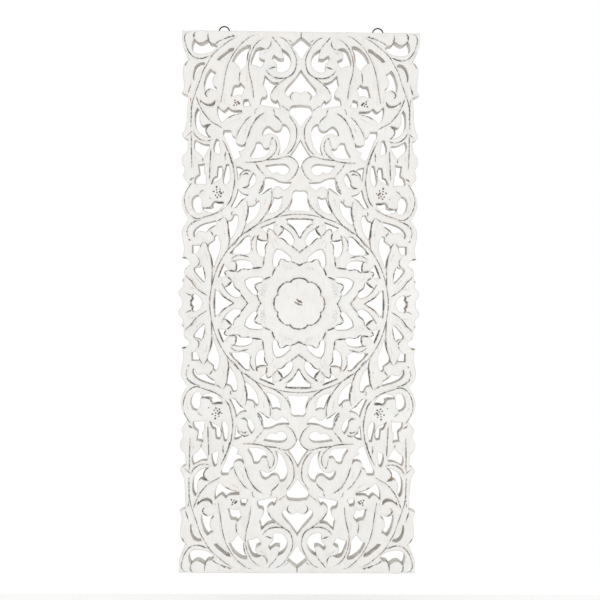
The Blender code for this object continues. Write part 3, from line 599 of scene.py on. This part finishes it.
def quarter_axis(curves):
    """Reads the quarter's two sides at FIELD_SPACING, between the windows that cross them."""
    points = []
    tips = np.concatenate([curve[[0, -1]] for curve in curves])
    for axis in (0, 1):
        on_side = np.abs(tips[:, axis]) < TINY
        ends = sorted({round(float(end), 6) for end in tips[on_side, 1 - axis]})
        for low, high in zip([0.0] + ends, ends):
            count = max(1, round((high - low) / FIELD_SPACING))
            between = low + (high - low) * np.arange(1, count) / count
            rows = np.zeros((len(between), 2))
            rows[:, 1 - axis] = between
            points.append(rows)
    return np.concatenate(points + [np.zeros((1, 2))])


def segment_distance(points, curve):
    """Measures from each point to a curve made of straight chords.

    Returns the distance, the side (left is positive), the run along the curve and its whole length.
    """
    start = curve[:-1]
    chord = curve[1:] - start
    square = (chord**2).sum(axis=1)
    offset = points[:, None, :] - start[None]
    share = np.clip((offset * chord).sum(axis=2) / square, 0, 1)
    away = offset - share[:, :, None] * chord
    distance = np.sqrt((away**2).sum(axis=2))
    near = distance.argmin(axis=1)
    row = np.arange(len(points))
    cross = chord[near, 0] * offset[row, near, 1] - chord[near, 1] * offset[row, near, 0]
    length = np.sqrt(square)
    run = np.concatenate([[0], np.cumsum(length)])[near] + share[row, near] * length[near]
    return distance[row, near], np.where(cross >= 0, 1.0, -1.0), run, length.sum()


def near_box(points, curve, reach):
    """Picks the points that lie within reach of a curve's bounding box."""
    low = curve.min(axis=0) - reach
    high = curve.max(axis=0) + reach
    return np.flatnonzero(((points > low) & (points < high)).all(axis=1))


def outline_distance(points, curves, reach):
    """Measures from each point to the nearest outline, no farther than reach."""
    nearest = np.full(len(points), reach)
    for curve in curves:
        pick = near_box(points, curve, reach)
        if len(pick):
            nearest[pick] = np.minimum(nearest[pick], segment_distance(points[pick], curve)[0])
    return nearest


def in_wood(points, curves):
    """Counts how often a level ray from each point crosses the outlines; an odd count is wood."""
    crossings = np.zeros(len(points), dtype=int)
    for curve in curves:
        a = curve[:-1]
        b = curve[1:]
        spans = (a[None, :, 1] > points[:, None, 1]) != (b[None, :, 1] > points[:, None, 1])
        rise = np.where(a[:, 1] == b[:, 1], 1.0, b[:, 1] - a[:, 1])
        reach = a[:, 0] + (points[:, None, 1] - a[:, 1]) * (b[:, 0] - a[:, 0]) / rise
        crossings += (spans & (points[:, None, 0] < reach)).sum(axis=1)
    return crossings % 2 == 1


def ring(radius, notch, spacing):
    """Draws a quarter of a round line, drawn in by the notch depth on each ray, with lobes between."""
    angle = np.linspace(0, math.pi / 2, round(radius * math.pi / 2 / spacing) + 1)
    reach = radius - notch * (1 - np.abs(np.cos(angle * RAYS / 2))) ** 2
    return np.stack([reach * np.cos(angle), reach * np.sin(angle)], axis=1)


def on_rays(line):
    """Repeats a line on the quarter's two rays, mirrored over each; the mirrored copy runs backwards."""
    copies = []
    for ray in (RAY_ANGLE, RAY_ANGLE + RAY_STEP):
        copies.append(turned(flipped(line), ray))
        copies.append(turned(line, ray))
    return copies


def quarter_lines():
    """Lists the carved lines of one quarter as (curve, kind), with the high wood on each curve's left."""
    lines = [
        (ring(RING_RADIUS, 0, LINE_SPACING), "step"),
        (ring(FLOWER_RADIUS, FLOWER_NOTCH, FLOWER_SPACING), "bold")]
    for kind, plain, on_ray in (
            ("bold", {}, RAY_STEPS), ("step", STEPS, []), ("cut", CUTS, RAY_CUTS), ("comb", COMBS, RAY_COMBS),
            ("edge", EDGES, RAY_EDGES)):
        lines += [(smooth_curve(line, False, LINE_SPACING), kind) for line in plain.values()]
        for line in on_ray:
            for number, copy in enumerate(on_rays(line)):
                curve = smooth_curve(copy, False, LINE_SPACING)
                lines.append((curve if number % 2 == 0 else curve[::-1], kind))
    lines.append((ring(RING_INSIDE, 0, LINE_SPACING), "thin_edge"))
    return lines


def bead_places():
    """Lists the beads beside the tips of the quarter's two rays as (across, up, radius)."""
    return [
        (*turned([(BEAD_PLACE[0], side * BEAD_PLACE[1])], ray)[0], BEAD_RADIUS)
        for side in (-1, 1) for ray in (RAY_ANGLE, RAY_ANGLE + RAY_STEP)]


def round_line(centre, radius, spacing):
    """Draws a closed circle."""
    angle = np.linspace(0, 2 * math.pi, round(2 * math.pi * radius / spacing) + 1)
    return np.stack([centre[0] + radius * np.cos(angle), centre[1] + radius * np.sin(angle)], axis=1)


def side_rows(curve, offsets):
    """Carries a curve's points sideways by each offset, left being positive."""
    along = np.gradient(curve, axis=0)
    along /= np.maximum(np.linalg.norm(along, axis=1), TINY)[:, None]
    left = np.stack([-along[:, 1], along[:, 0]], axis=1)
    return np.concatenate([curve + left * offset for offset in offsets])


def dimple_places():
    """Lays the pods' dimples in a sunflower spiral, as (across, up, radius).

    Each turns on by the golden angle, and reaches out with the root of its number. Sine waves make
    the turns, the reaches and the sizes a little uneven.
    """
    places = []
    for x, y, _, spread, count, radius in PODS:
        number = np.arange(count)
        angle = number * GOLDEN_ANGLE + 0.3 * np.sin(number * 2.3)
        reach = spread * np.sqrt((number + 0.4) / count) * (1 + 0.12 * np.sin(number * 3.1))
        size = radius * (1 + 0.2 * np.sin(number * 1.9))
        places.append(np.stack([x + reach * np.cos(angle), y + reach * np.sin(angle), size], axis=1))
    return np.concatenate(places)


def grid_points(across, up):
    """Crosses two rows of values into a list of places."""
    return np.stack(np.meshgrid(across, up, indexing="ij"), axis=-1).reshape(-1, 2)


def quarter_points(curves, lines, rng):
    """Collects the front's inner points: carved lines, dimples, button and rims, then a jittered field.

    Of the points that share a cell of one millimetre only the first stays, also after the cells have
    been moved by half of one.
    """
    rows = []
    for row in range(len(LINE_ROWS["step"])):
        for curve, kind in lines:
            if row < len(LINE_ROWS[kind]):
                rows.append(side_rows(curve, LINE_ROWS[kind][row:row + 1]))
    for x, y, radius in dimple_places():
        rows += [np.array([(x, y)]), round_line((x, y), radius, DIMPLE_SPACING)]
    button = np.arange(*BUTTON_GRID)
    rows.append(grid_points(button, button))
    for curve in curves:
        rows.append(side_rows(curve, [sign * offset for offset in RIM_OFFSETS for sign in (1, -1)]))
    field = grid_points(
        np.arange(FIELD_SPACING, FIELD_REACH, FIELD_SPACING),
        np.arange(FIELD_SPACING, TEMPLATE_HEIGHT / 2, FIELD_SPACING))
    rows.append(field + rng.uniform(-FIELD_JITTER, FIELD_JITTER, field.shape))
    points = np.concatenate(rows)
    points = points[(points > SEAM_MARGIN).all(axis=1)]
    points = points[in_wood(points, curves)]
    points = points[outline_distance(points, curves, LEAST_LAND + 0.1) > LEAST_LAND]
    for shift in (0.0, 0.5):
        cell = np.floor(points + shift).astype(int)
        points = points[np.sort(np.unique(cell, axis=0, return_index=True)[1])]
    return points


def triangulated(points, edges, curves):
    """Fills the wood between the outlines with triangles, wound so that they face out of the page.

    Returns the corners, the triangles, and the number of the corner that each point became.
    """
    filled = delaunay_2d_cdt(points.tolist(), edges, [], 0, MERGE_DISTANCE, True)
    corners = np.array([tuple(corner) for corner in filled[0]])
    triangles = np.array(filled[2])
    wood = in_wood(corners[triangles].mean(axis=1), curves)
    index = np.full(len(points), -1)
    for number, source in enumerate(filled[3]):
        index[source] = number
    return corners, triangles[wood], index


def wave(points, seed, length):
    """Adds up sine waves that run in scattered directions, scaled to stay mostly between -1 and 1."""
    rng = np.random.default_rng(seed)
    total = np.zeros(len(points))
    for _ in range(WAVE_COUNT):
        angle = rng.uniform(0, 2 * math.pi)
        step = 2 * math.pi / (length * rng.uniform(0.7, 1.5))
        run = points[:, 0] * math.cos(angle) + points[:, 1] * math.sin(angle)
        total += np.sin(run * step + rng.uniform(0, 6.3))
    return total / WAVE_COUNT * 1.6


def carved(points, curves, lines):
    """Gives each template point its depth under the front and how deep in a carved line it lies.

    Near a step the high side drops within LIP_WIDTH, and the low side climbs back over SLOPE_WIDTH.
    A narrow line is a V. The depths of lines that meet are joined as the fourth root of the sum of
    their fourth powers. The dark wax and painted shade in a line swell along it as two sine waves do.
    An edge mark lays dark wax and painted shade on the wood only within EDGE_REACH of a window. The
    wood falls off squarely towards a window's rim.
    """
    depth = np.zeros(len(points))
    line_share = np.zeros(len(points))
    rim = outline_distance(points, curves, PILLOW_WIDTH)
    for number, (curve, kind) in enumerate(lines):
        pick = near_box(points, curve, SLOPE_WIDTH)
        if not len(pick):
            continue
        away, side, run, whole = segment_distance(points[pick], curve)
        taper = min(TAPER, whole / 4)
        fade = np.ones(len(pick))
        if curve[0].min() > SEAM_MARGIN:
            fade = np.minimum(fade, np.clip(run / taper, 0, 1))
        if curve[-1].min() > SEAM_MARGIN:
            fade = np.minimum(fade, np.clip((whole - run) / taper, 0, 1))
        fade = END_SHARE + (1 - END_SHARE) * fade
        if kind in NARROW_LINES:
            deepest, width = NARROW_LINES[kind]
            own = deepest * fade * np.clip(1 - away / width, 0, 1)
        else:
            high = np.clip(1 - away / LIP_WIDTH, 0, 1) ** LIP_POWER
            low = np.clip(1 - away / SLOPE_WIDTH, 0, 1) ** SLOPE_POWER
            own = STEP_DEPTH * fade * np.where(side > 0, high, low)
        past = (away > ON_LINE) & ((run < TINY) | (run > whole - TINY))
        ended = STEP_DEPTH * fade * np.clip(1 - away / END_REACH, 0, 1)
        own = np.where(past, np.minimum(own, ended), own)
        depth[pick] = (depth[pick] ** BLEND_POWER + own**BLEND_POWER) ** (1 / BLEND_POWER)
        swell = np.full(len(pick), WAX_AND_SHADE_MIDDLE)
        for share, pace, shift in WAX_AND_SHADE_WAVES:
            swell += share * np.sin(run * pace + number * shift)
        wax_and_shade, width = LINE_WAX_AND_SHADE[kind]
        shown = np.clip(WAX_AND_SHADE_CORE - away / width, 0, 1) * fade * wax_and_shade * swell
        # Edge marks are dark wax and painted shade of the walls beside a window.
        if kind in ("edge", "thin_edge"):
            shown = shown * (rim[pick] < EDGE_REACH)
        line_share[pick] = np.maximum(line_share[pick], shown)
    depth += RIM_DROP * np.clip(1 - rim / RIM_WIDTH, 0, 1) ** 2
    depth += PILLOW_DROP * np.clip(1 - rim / PILLOW_WIDTH, 0, 1) ** 2
    return depth, np.clip(line_share, 0, 1), rim


def domed(points, depth):
    """Raises the balls, beads and pods as flat domes and sinks the pods' dimples as small bowls.

    A dome falls from its top as a circle does, by DOME_FALL, and its edge takes on the wood around
    it. A dimple is a parabola. Returns the depth and the share of a dimple at each point.
    """
    pods = [pod[:3] for pod in PODS]
    for x, y, radius in DOMES + pods + bead_places():
        away = np.hypot(points[:, 0] - x, points[:, 1] - y)
        inner = away < radius
        share = away[inner] / radius
        fall = DOME_FALL * (1 - np.sqrt(1 - share**2 * 0.96))
        raised = np.minimum(depth[inner], DOME_EDGE) * share**6 + fall
        depth[inner] = raised + (depth[inner] - raised) * share**8
    dents = np.zeros(len(points))
    for x, y, radius in dimple_places():
        away = np.hypot(points[:, 0] - x, points[:, 1] - y)
        dents = np.maximum(dents, np.clip(1 - (away / radius) ** 2, 0, 1))
    return depth + DIMPLE_DEPTH * dents, dents


def mark_middle(flat, front, depth, line_share):
    """Puts the small raised button and the knife marks at the front's very middle.

    The wood around the button is lower by BUTTON_RISE. A mark is a V with dark wax and painted shade
    in it. Both arrays are changed, and the back isn't.
    """
    away = np.hypot(flat[:, 0] - BUTTON_PLACE[0], flat[:, 1] - BUTTON_PLACE[1])
    near = front & (away < 2 * BUTTON_RADIUS)
    depth[near] += BUTTON_RISE * (1 - np.clip(1 - (away[near] / BUTTON_RADIUS) ** 2, 0, 1))
    for mark in MIDDLE_MARKS:
        distance = segment_distance(flat[near], np.array(mark))[0]
        depth[near] += MARK_DEPTH * np.clip(1 - distance / MARK_WIDTH, 0, 1)
        wax_and_shade = np.clip(MARK_WAX_AND_SHADE[0] - distance / MARK_WAX_AND_SHADE[1], 0, 1)
        line_share[near] = np.maximum(line_share[near], wax_and_shade)


def quarter_front(curves, lines):
    """Builds one quarter of the front from its outlines, its two sides and its inner points.

    Returns the outline's points and edges, the number of the corner that each point became, the
    corners and the triangles.
    """
    rng = np.random.default_rng(FIELD_SEED)
    outline = []
    edges = []
    first = 0
    for curve in curves:
        closed = np.linalg.norm(curve[0] - curve[-1]) < TINY
        part = curve[:-1] if closed else curve
        last = len(part) if closed else len(part) - 1
        edges += [(first + i, first + (i + 1) % len(part)) for i in range(last)]
        outline.append(part)
        first += len(part)
    outline = np.concatenate(outline)
    points = np.concatenate([outline, quarter_axis(curves), quarter_points(curves, lines, rng)])
    corners, triangles, index = triangulated(points, edges, curves)
    return outline, np.array(edges), index, corners, triangles


def drilled_back(outline, edges, curves, holes):
    """Fills the back with triangles, with a ring of points round each hole.

    Returns the corners, the triangles, the number of the corner that each outline point became, the
    rings' edges, which triangles lie in a hole and which corners lie on a ring.
    """
    angle = np.linspace(0, 2 * math.pi, HOLE_SIDES, endpoint=False)
    circle = np.stack([np.cos(angle), np.sin(angle)], axis=1) * HOLE_RADIUS
    points = np.concatenate([outline, np.zeros((1, 2))] + [hole + circle for hole in holes])
    first = len(outline) + 1
    ring_edges = [
        (first + hole * HOLE_SIDES + i, first + hole * HOLE_SIDES + (i + 1) % HOLE_SIDES)
        for hole in range(len(holes)) for i in range(HOLE_SIDES)]
    corners, triangles, index = triangulated(points, edges.tolist() + ring_edges, curves)
    middle = corners[triangles].mean(axis=1)
    in_hole = (np.linalg.norm(middle[:, None] - holes, axis=2) < HOLE_RADIUS).any(axis=1)
    on_ring = np.zeros(len(corners))
    on_ring[index[first:]] = 1
    return corners, triangles, index, index[np.array(ring_edges)], in_hole, on_ring


def wall_order(edges, outline, curves):
    """Tells for each outline edge whether the wood lies on its left."""
    a = outline[edges[:, 0]]
    b = outline[edges[:, 1]]
    along = b - a
    left = np.stack([-along[:, 1], along[:, 0]], axis=1) / np.linalg.norm(along, axis=1)[:, None]
    return in_wood((a + b) / 2 + left * PROBE, curves)


def wall_faces(upper, lower, order):
    """Joins the upper and lower ends of each edge with two triangles that face away from the wood."""
    a = np.where(order, upper[:, 1], upper[:, 0])
    b = np.where(order, upper[:, 0], upper[:, 1])
    c = np.where(order, lower[:, 0], lower[:, 1])
    d = np.where(order, lower[:, 1], lower[:, 0])
    return np.concatenate([np.stack([a, b, c], axis=1), np.stack([a, c, d], axis=1)])


def joined_quarters(flat, layer, values, drilled, plain):
    """Mirrors one quarter into all four, drilled above and plain below, and joins points that agree.

    Returns the points that a face uses as (across, up, layer), their values and the faces.
    """
    places = []
    faces = []
    for side, height in ((1, 1), (-1, 1), (-1, -1), (1, -1)):
        shape = drilled if height > 0 else plain
        faces.append((shape if side * height > 0 else shape[:, ::-1]) + len(places) * len(flat))
        places.append(np.column_stack([flat * (side, height), layer]))
    places = np.concatenate(places)
    key = np.round(places * (JOIN_PARTS, JOIN_PARTS, 1)).astype(np.int64)
    _, kept, joined = np.unique(key, axis=0, return_index=True, return_inverse=True)
    used, faces = np.unique(joined.reshape(-1)[np.concatenate(faces)], return_inverse=True)
    kept = kept[used]
    return places[kept], np.tile(values, (4, 1))[kept], faces.reshape(-1, 3)


def new_piece(name, vertices, faces, material):
    """Makes an object at the origin from its places and faces."""
    mesh = bpy.data.meshes.new(name)
    mesh.from_pydata(vertices, [], faces)
    mesh.materials.append(material)
    piece = bpy.data.objects.new(name, mesh)
    bpy.context.scene.collection.objects.link(piece)
    return piece


def make_panel(low, high, loop, material):
    """Builds the whole panel: four quarters of front, walls and back, joined along the middle lines.

    The quarter has three layers of points: the front, the back and the floors of the drilled holes.
    The right-hand loop's box places the holes for its legs, and the left-hand holes mirror them.
    """
    middle_x = (low.x + high.x) / 2
    middle_z = (low.z + high.z) / 2
    across_scale = (high.x - low.x) / TEMPLATE_OVERALL_WIDTH
    up_scale = (high.z - low.z) / TEMPLATE_HEIGHT
    curves = quarter_outlines()
    lines = quarter_lines()
    outline, edges, front_index, corners, triangles = quarter_front(curves, lines)
    depth, line_share, rim = carved(corners, curves, lines)
    depth, dents = domed(corners, depth)

    legs = (loop[0].x + WIRE_DIAMETER / 2, loop[1].x - WIRE_DIAMETER / 2)
    holes = np.array([((leg - middle_x) / across_scale, (FOOT - middle_z) / up_scale) for leg in legs])
    back, back_triangles, back_index, rings, in_hole, on_ring = drilled_back(outline, edges, curves, holes)

    count = len(corners)
    under = len(back)
    order = wall_order(edges, outline, curves)
    walls = wall_faces(front_index[edges], back_index[edges] + count, order)
    bores = wall_faces(rings + count, rings + count + under, True)
    back_faces = back_triangles[:, ::-1] + count
    drilled = np.concatenate([triangles, walls, back_faces[~in_hole], bores, back_faces[in_hole] + under])
    plain = np.concatenate([triangles, walls, back_faces])

    values = np.zeros((count + 2 * under, RING + 1))
    values[:count, :RING] = np.stack([depth, line_share, np.clip(1 - rim / RIM_REACH, 0, 1), dents], axis=1)
    values[count:, DEPTH] = np.repeat((THICKNESS, THICKNESS - HOLE_DEPTH), under)
    values[count:, RING] = np.tile(on_ring, 2)
    places, values, faces = joined_quarters(
        np.concatenate([corners, back, back]), np.repeat((0, 1, 2), (count, under, under)),
        values, drilled, plain)

    drift = np.stack([wave(places, seed, DRIFT_LENGTH) for seed in DRIFT_SEEDS], axis=1) * DRIFT
    flat = places[:, :2] + drift * (1 - values[:, RING])[:, None]
    depth = values[:, DEPTH]
    front = places[:, 2] == 0
    mark_middle(flat, front, depth, values[:, LINE])
    swell = SWELL * (1 + wave(flat, SWELL_SEED, SWELL_LENGTH))
    chisel = CHISEL * (1 + wave(flat, CHISEL_SEED, CHISEL_LENGTH))
    depth = np.clip(depth + front * (swell + chisel), 0, THICKNESS)
    across = np.clip(flat[:, 0] * across_scale + middle_x, low.x, high.x)
    up = np.clip(flat[:, 1] * up_scale + middle_z, low.z, high.z)
    vertices = np.stack([across, low.y + depth / THICKNESS * (high.y - low.y), up], axis=1)

    panel = new_piece("carved_panel", vertices.tolist(), faces.tolist(), material)
    for name, column in (("line", LINE), ("rim", RIM), ("dimple", DIMPLE)):
        kept = panel.data.attributes.new(name, "FLOAT", "POINT")
        kept.data.foreach_set("value", values[:, column].astype(np.float32))
    panel.data.shade_smooth()
    panel.data.set_sharp_from_angle(angle=SMOOTH_ANGLE)
    return panel


def wire_line(centre, low, high):
    """Lays out a loop's centre line with its frame: leg, bend, straight, half circle and back again.

    A bend and the half circle are arcs by sine and cosine.
    The leg and the bend lie in a plane across the panel's depth, and their side vector is level.
    The straight and the half circle lie in the back's plane, and their side vector is square to both.
    """
    lie = high.y - WIRE_DIAMETER / 2
    reach = (high.x - low.x - WIRE_DIAMETER) / 2
    arc_height = high.z - WIRE_DIAMETER / 2 - reach
    bend = np.linspace(0, math.pi / 2, BEND_POINTS)
    sweep = np.linspace(0, math.pi / 2, ARC_POINTS)
    zero = np.zeros(1)
    y = np.concatenate([zero - LEG_BITE, lie * np.sin(bend), np.full(len(sweep), lie)])
    z = np.concatenate([zero + FOOT, FOOT + lie * (1 - np.cos(bend)), arc_height + reach * np.sin(sweep)])
    x = np.concatenate([zero + reach, np.full(len(bend), reach), reach * np.cos(sweep)])
    side_x = np.concatenate([zero - 1, np.full(len(bend), -1.0), -np.cos(sweep)])
    side_z = np.concatenate([zero, np.zeros(len(bend)), -np.sin(sweep)])
    half = np.stack([x, y, z, side_x, side_z], axis=1)
    other = half[-2::-1] * (-1, 1, 1, -1, 1)
    whole = np.concatenate([half, other])
    places = whole[:, :3] + (centre, 0, 0)
    side = np.stack([whole[:, 3], np.zeros(len(whole)), whole[:, 4]], axis=1)
    along = np.gradient(places, axis=0)
    along /= np.linalg.norm(along, axis=1)[:, None]
    along[0] = (0, 1, 0)
    along[-1] = (0, -1, 0)
    return places, side, np.cross(along, side)


def make_wire(name, low, high, material):
    """Carries a circle of the wire's radius along the loop's centre line and closes both ends."""
    places, side, upward = wire_line((low.x + high.x) / 2, low, high)
    turn = np.linspace(0, 2 * math.pi, WIRE_SIDES, endpoint=False)
    radius = WIRE_DIAMETER / 2 - WIRE_SLACK
    circle = side[:, None] * np.cos(turn)[None, :, None] + upward[:, None] * np.sin(turn)[None, :, None]
    vertices = (places[:, None] + radius * circle).reshape(-1, 3)
    rows = len(places)
    grid = np.arange(rows * WIRE_SIDES).reshape(rows, WIRE_SIDES)
    after = np.roll(grid, -1, axis=1)
    quads = np.stack([grid[:-1], after[:-1], after[1:], grid[1:]], axis=-1).reshape(-1, 4)
    faces = quads.tolist() + [grid[0, ::-1].tolist(), grid[-1].tolist()]
    wire = new_piece(name, vertices.tolist(), faces, material)
    wire.data.shade_smooth()
    return wire


def node(material, kind, settings=None, **inputs):
    """Adds a shader node with its settings and input values, and links the inputs that are sockets.

    An input is given by its name, or by i and its number.
    """
    made = material.node_tree.nodes.new(kind)
    for name, value in (settings or {}).items():
        setattr(made, name, value)
    for name, value in inputs.items():
        numbered = name[0] == "i" and name[1:].isdigit()
        socket = made.inputs[int(name[1:]) if numbered else name]
        if isinstance(value, bpy.types.NodeSocket):
            material.node_tree.links.new(value, socket)
        else:
            socket.default_value = value
    return made


def noise(material, place, scale, detail=3.0, roughness=0.55):
    """Adds a noise texture and returns its value."""
    made = node(
        material, "ShaderNodeTexNoise", Vector=place, Scale=scale, Detail=detail, Roughness=roughness)
    return made.outputs["Fac"]


def ramp(material, value, low, high):
    """Stretches a value so that low becomes 0 and high becomes 1, held between them."""
    return node(
        material, "ShaderNodeMapRange", {"clamp": True}, Value=value, **{"From Min": low, "From Max": high}
    ).outputs["Result"]


def times(material, a, b):
    """Multiplies two values."""
    return node(material, "ShaderNodeMath", {"operation": "MULTIPLY"}, i0=a, i1=b).outputs[0]


def plus(material, a, b):
    """Adds two values, held between 0 and 1."""
    return node(material, "ShaderNodeMath", {"operation": "ADD", "use_clamp": True}, i0=a, i1=b).outputs[0]


def mixed(material, share, under, over):
    """Lays one colour over another by a share."""
    made = node(material, "ShaderNodeMix", {"data_type": "RGBA"}, i0=share, i6=under, i7=over)
    return made.outputs[2]


def laid_over(material, colour, where, share, over):
    """Lays a colour over another where a value says so, up to a share."""
    return mixed(material, times(material, where, share), colour, (*over, 1))


def attribute(material, name):
    """Reads a value kept on the mesh."""
    return node(material, "ShaderNodeAttribute", {"attribute_name": name}).outputs["Fac"]


def make_material(name):
    """Makes an empty material and returns it with its surface shader."""
    material = bpy.data.materials.new(name)
    material.use_nodes = True
    return material, material.node_tree.nodes["Principled BSDF"]


def whitewashed_wood():
    """Chalky white paint, rubbed to bare wood at some edges, with dark wax and painted shade in the carved
    lines, the dimples and at the windows' edges, and painted shade on the walls.
    """
    material, shader = make_material("whitewashed_wood")
    coordinates = node(material, "ShaderNodeTexCoord")
    place = coordinates.outputs["Object"]
    grain_place = node(
        material, "ShaderNodeMapping", Vector=place, Scale=(1.0, 1.0, 0.12)).outputs["Vector"]
    facing = node(material, "ShaderNodeSeparateXYZ", i0=coordinates.outputs["Normal"]).outputs["Y"]
    wall = ramp(material, facing, -0.75, -0.25)
    line = attribute(material, "line")
    rim = attribute(material, "rim")
    dimple = attribute(material, "dimple")

    tint = ramp(material, noise(material, place, 9.0), 0.3, 0.7)
    colour = mixed(material, tint, (0.722, 0.714, 0.69, 1), (0.76, 0.752, 0.735, 1))
    for scale, detail, start, full, share, over in TINTS:
        patch = ramp(material, noise(material, place, scale, detail), start, full)
        colour = laid_over(material, colour, patch, share, over)
    grain = noise(material, grain_place, 420.0, 4.0)
    colour = laid_over(material, colour, ramp(material, grain, 0.5, 0.8), 0.25, (0.55, 0.51, 0.45))

    # Walls are painted greyer, partly as painted shade on faces turned from the front light and partly as
    # thinner paint on sawn wood, and darker brown in noise patches.
    colour = laid_over(material, colour, wall, 0.85, (0.66, 0.642, 0.604))
    wall_dark_patch = ramp(material, noise(material, place, 48.0, 4.0), 0.52, 0.7)
    colour = laid_over(material, colour, times(material, wall, wall_dark_patch), 0.4, (0.36, 0.30, 0.24))

    bare = ramp(material, noise(material, place, 85.0, 4.0, 0.65), 0.5, 0.62)
    worn = times(material, ramp(material, rim, 0.35, 0.95), bare)
    colour = laid_over(material, colour, worn, 0.35, (0.40, 0.33, 0.26))
    # A thin broken dark line at the windows' arrises is dark wax and painted shade of the walls.
    thin = ramp(material, noise(material, place, 70.0, 3.0, 0.6), 0.42, 0.56)
    arris = times(material, ramp(material, rim, 0.55, 0.9), thin)
    colour = laid_over(material, colour, arris, 0.5, (0.16, 0.14, 0.12))

    # Dark wax and painted shade in the carved lines, broken along them by noise.
    broken = ramp(material, noise(material, place, 150.0, 3.0, 0.6), 0.3, 0.5)
    wax_and_shade = times(material, ramp(material, line, 0.25, 0.68), broken)
    # The pods' dimples take the same dark: dark wax and painted shade in the hollows.
    wax_and_shade = plus(material, wax_and_shade, ramp(material, dimple, 0.1, 0.5))
    warm = ramp(material, noise(material, place, 33.0, 2.0), 0.58, 0.66)
    wax_and_shade_colour = mixed(material, warm, (0.06, 0.053, 0.047, 1), (0.30, 0.16, 0.08, 1))
    # A faint grey band beside each carved line is painted shade.
    colour = laid_over(material, colour, ramp(material, line, 0.05, 0.5), 0.12, (0.44, 0.42, 0.38))
    colour = mixed(material, times(material, wax_and_shade, 0.94), colour, wax_and_shade_colour)

    brush = noise(material, place, 700.0, 4.0)
    bump = node(material, "ShaderNodeBump", Strength=0.35, Distance=0.0004, Height=grain)
    bump = node(
        material, "ShaderNodeBump", Strength=0.3, Distance=0.0003, Height=brush,
        Normal=bump.outputs["Normal"])
    links = material.node_tree.links
    links.new(colour, shader.inputs["Base Color"])
    links.new(bump.outputs["Normal"], shader.inputs["Normal"])
    shader.inputs["Roughness"].default_value = 0.72
    shader.inputs["Specular IOR Level"].default_value = 0.3
    return material


def black_wire():
    """Black lacquered wire with a soft shine and slight rub marks."""
    material, shader = make_material("black_wire")
    place = node(material, "ShaderNodeTexCoord").outputs["Object"]
    rub = ramp(material, noise(material, place, 500.0, 3.0), 0.5, 0.72)
    colour = mixed(material, rub, (0.006, 0.006, 0.007, 1), (0.03, 0.028, 0.027, 1))
    links = material.node_tree.links
    links.new(colour, shader.inputs["Base Color"])
    rough = node(
        material, "ShaderNodeMapRange", Value=rub, **{"To Min": 0.4, "To Max": 0.6}).outputs["Result"]
    links.new(rough, shader.inputs["Roughness"])
    shader.inputs["Specular IOR Level"].default_value = 0.25
    return material


def make_floor():
    """Makes the plain pale floor under the panel."""
    material, shader = make_material("pale_floor")
    shader.inputs["Base Color"].default_value = (0.93, 0.93, 0.925, 1)
    shader.inputs["Roughness"].default_value = 0.85
    corners = [
        (-FLOOR_SIDE, FLOOR_FRONT, FLOOR), (FLOOR_SIDE, FLOOR_FRONT, FLOOR),
        (FLOOR_SIDE, FLOOR_BACK, FLOOR), (-FLOOR_SIDE, FLOOR_BACK, FLOOR)]
    return new_piece("floor", corners, [(0, 1, 2, 3)], material)


def make_lights():
    """Lights the panel from all round, with a soft lamp far over its left shoulder and one low in front."""
    scene = bpy.context.scene
    world = bpy.data.worlds.new("studio")
    scene.world = world
    world.use_nodes = True
    world.node_tree.nodes["Background"].inputs["Color"].default_value = (1.0, 1.0, 1.0, 1)
    world.node_tree.nodes["Background"].inputs["Strength"].default_value = 1.0
    for name, place, energy, size in LAMPS:
        lamp = bpy.data.lights.new(name, "AREA")
        lamp.shape = "DISK"
        lamp.size = size
        lamp.energy = energy
        holder = bpy.data.objects.new(name, lamp)
        holder.location = place
        holder.rotation_euler = (-Vector(place)).to_track_quat("-Z", "Y").to_euler()
        scene.collection.objects.link(holder)
    scene.view_settings.view_transform = "Standard"


def make_camera():
    """Sets the camera a little over a metre in front of the panel's middle."""
    camera = bpy.data.cameras.new("camera")
    camera.sensor_width = 36
    camera.lens = CAMERA_LENS
    camera.clip_start = 0.01
    holder = bpy.data.objects.new("camera", camera)
    turn = Euler((CAMERA_TILT, CAMERA_ROLL, CAMERA_TURN), "XYZ").to_matrix()
    turn = turn @ Matrix.Rotation(math.pi / 2, 3, "X")
    holder.matrix_world = Matrix.Translation(CAMERA_PLACE) @ turn.to_4x4()
    bpy.context.scene.collection.objects.link(holder)
    bpy.context.scene.camera = holder


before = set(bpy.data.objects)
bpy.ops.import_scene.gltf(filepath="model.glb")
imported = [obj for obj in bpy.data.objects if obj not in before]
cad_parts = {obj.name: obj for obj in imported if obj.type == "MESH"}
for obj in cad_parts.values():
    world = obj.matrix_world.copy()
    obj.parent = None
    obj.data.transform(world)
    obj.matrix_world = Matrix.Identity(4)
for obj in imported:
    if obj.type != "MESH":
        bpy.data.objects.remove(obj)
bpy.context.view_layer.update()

wood = whitewashed_wood()
wire = black_wire()
panel = make_panel(*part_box("panel"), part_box("hanger_right"), wood)
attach(panel, "root")
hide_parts("panel")
for name in ("hanger_left", "hanger_right"):
    loop = make_wire(name + "_wire", *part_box(name), wire)
    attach(loop, "root")
    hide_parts(name)
make_floor()
make_lights()
make_camera()
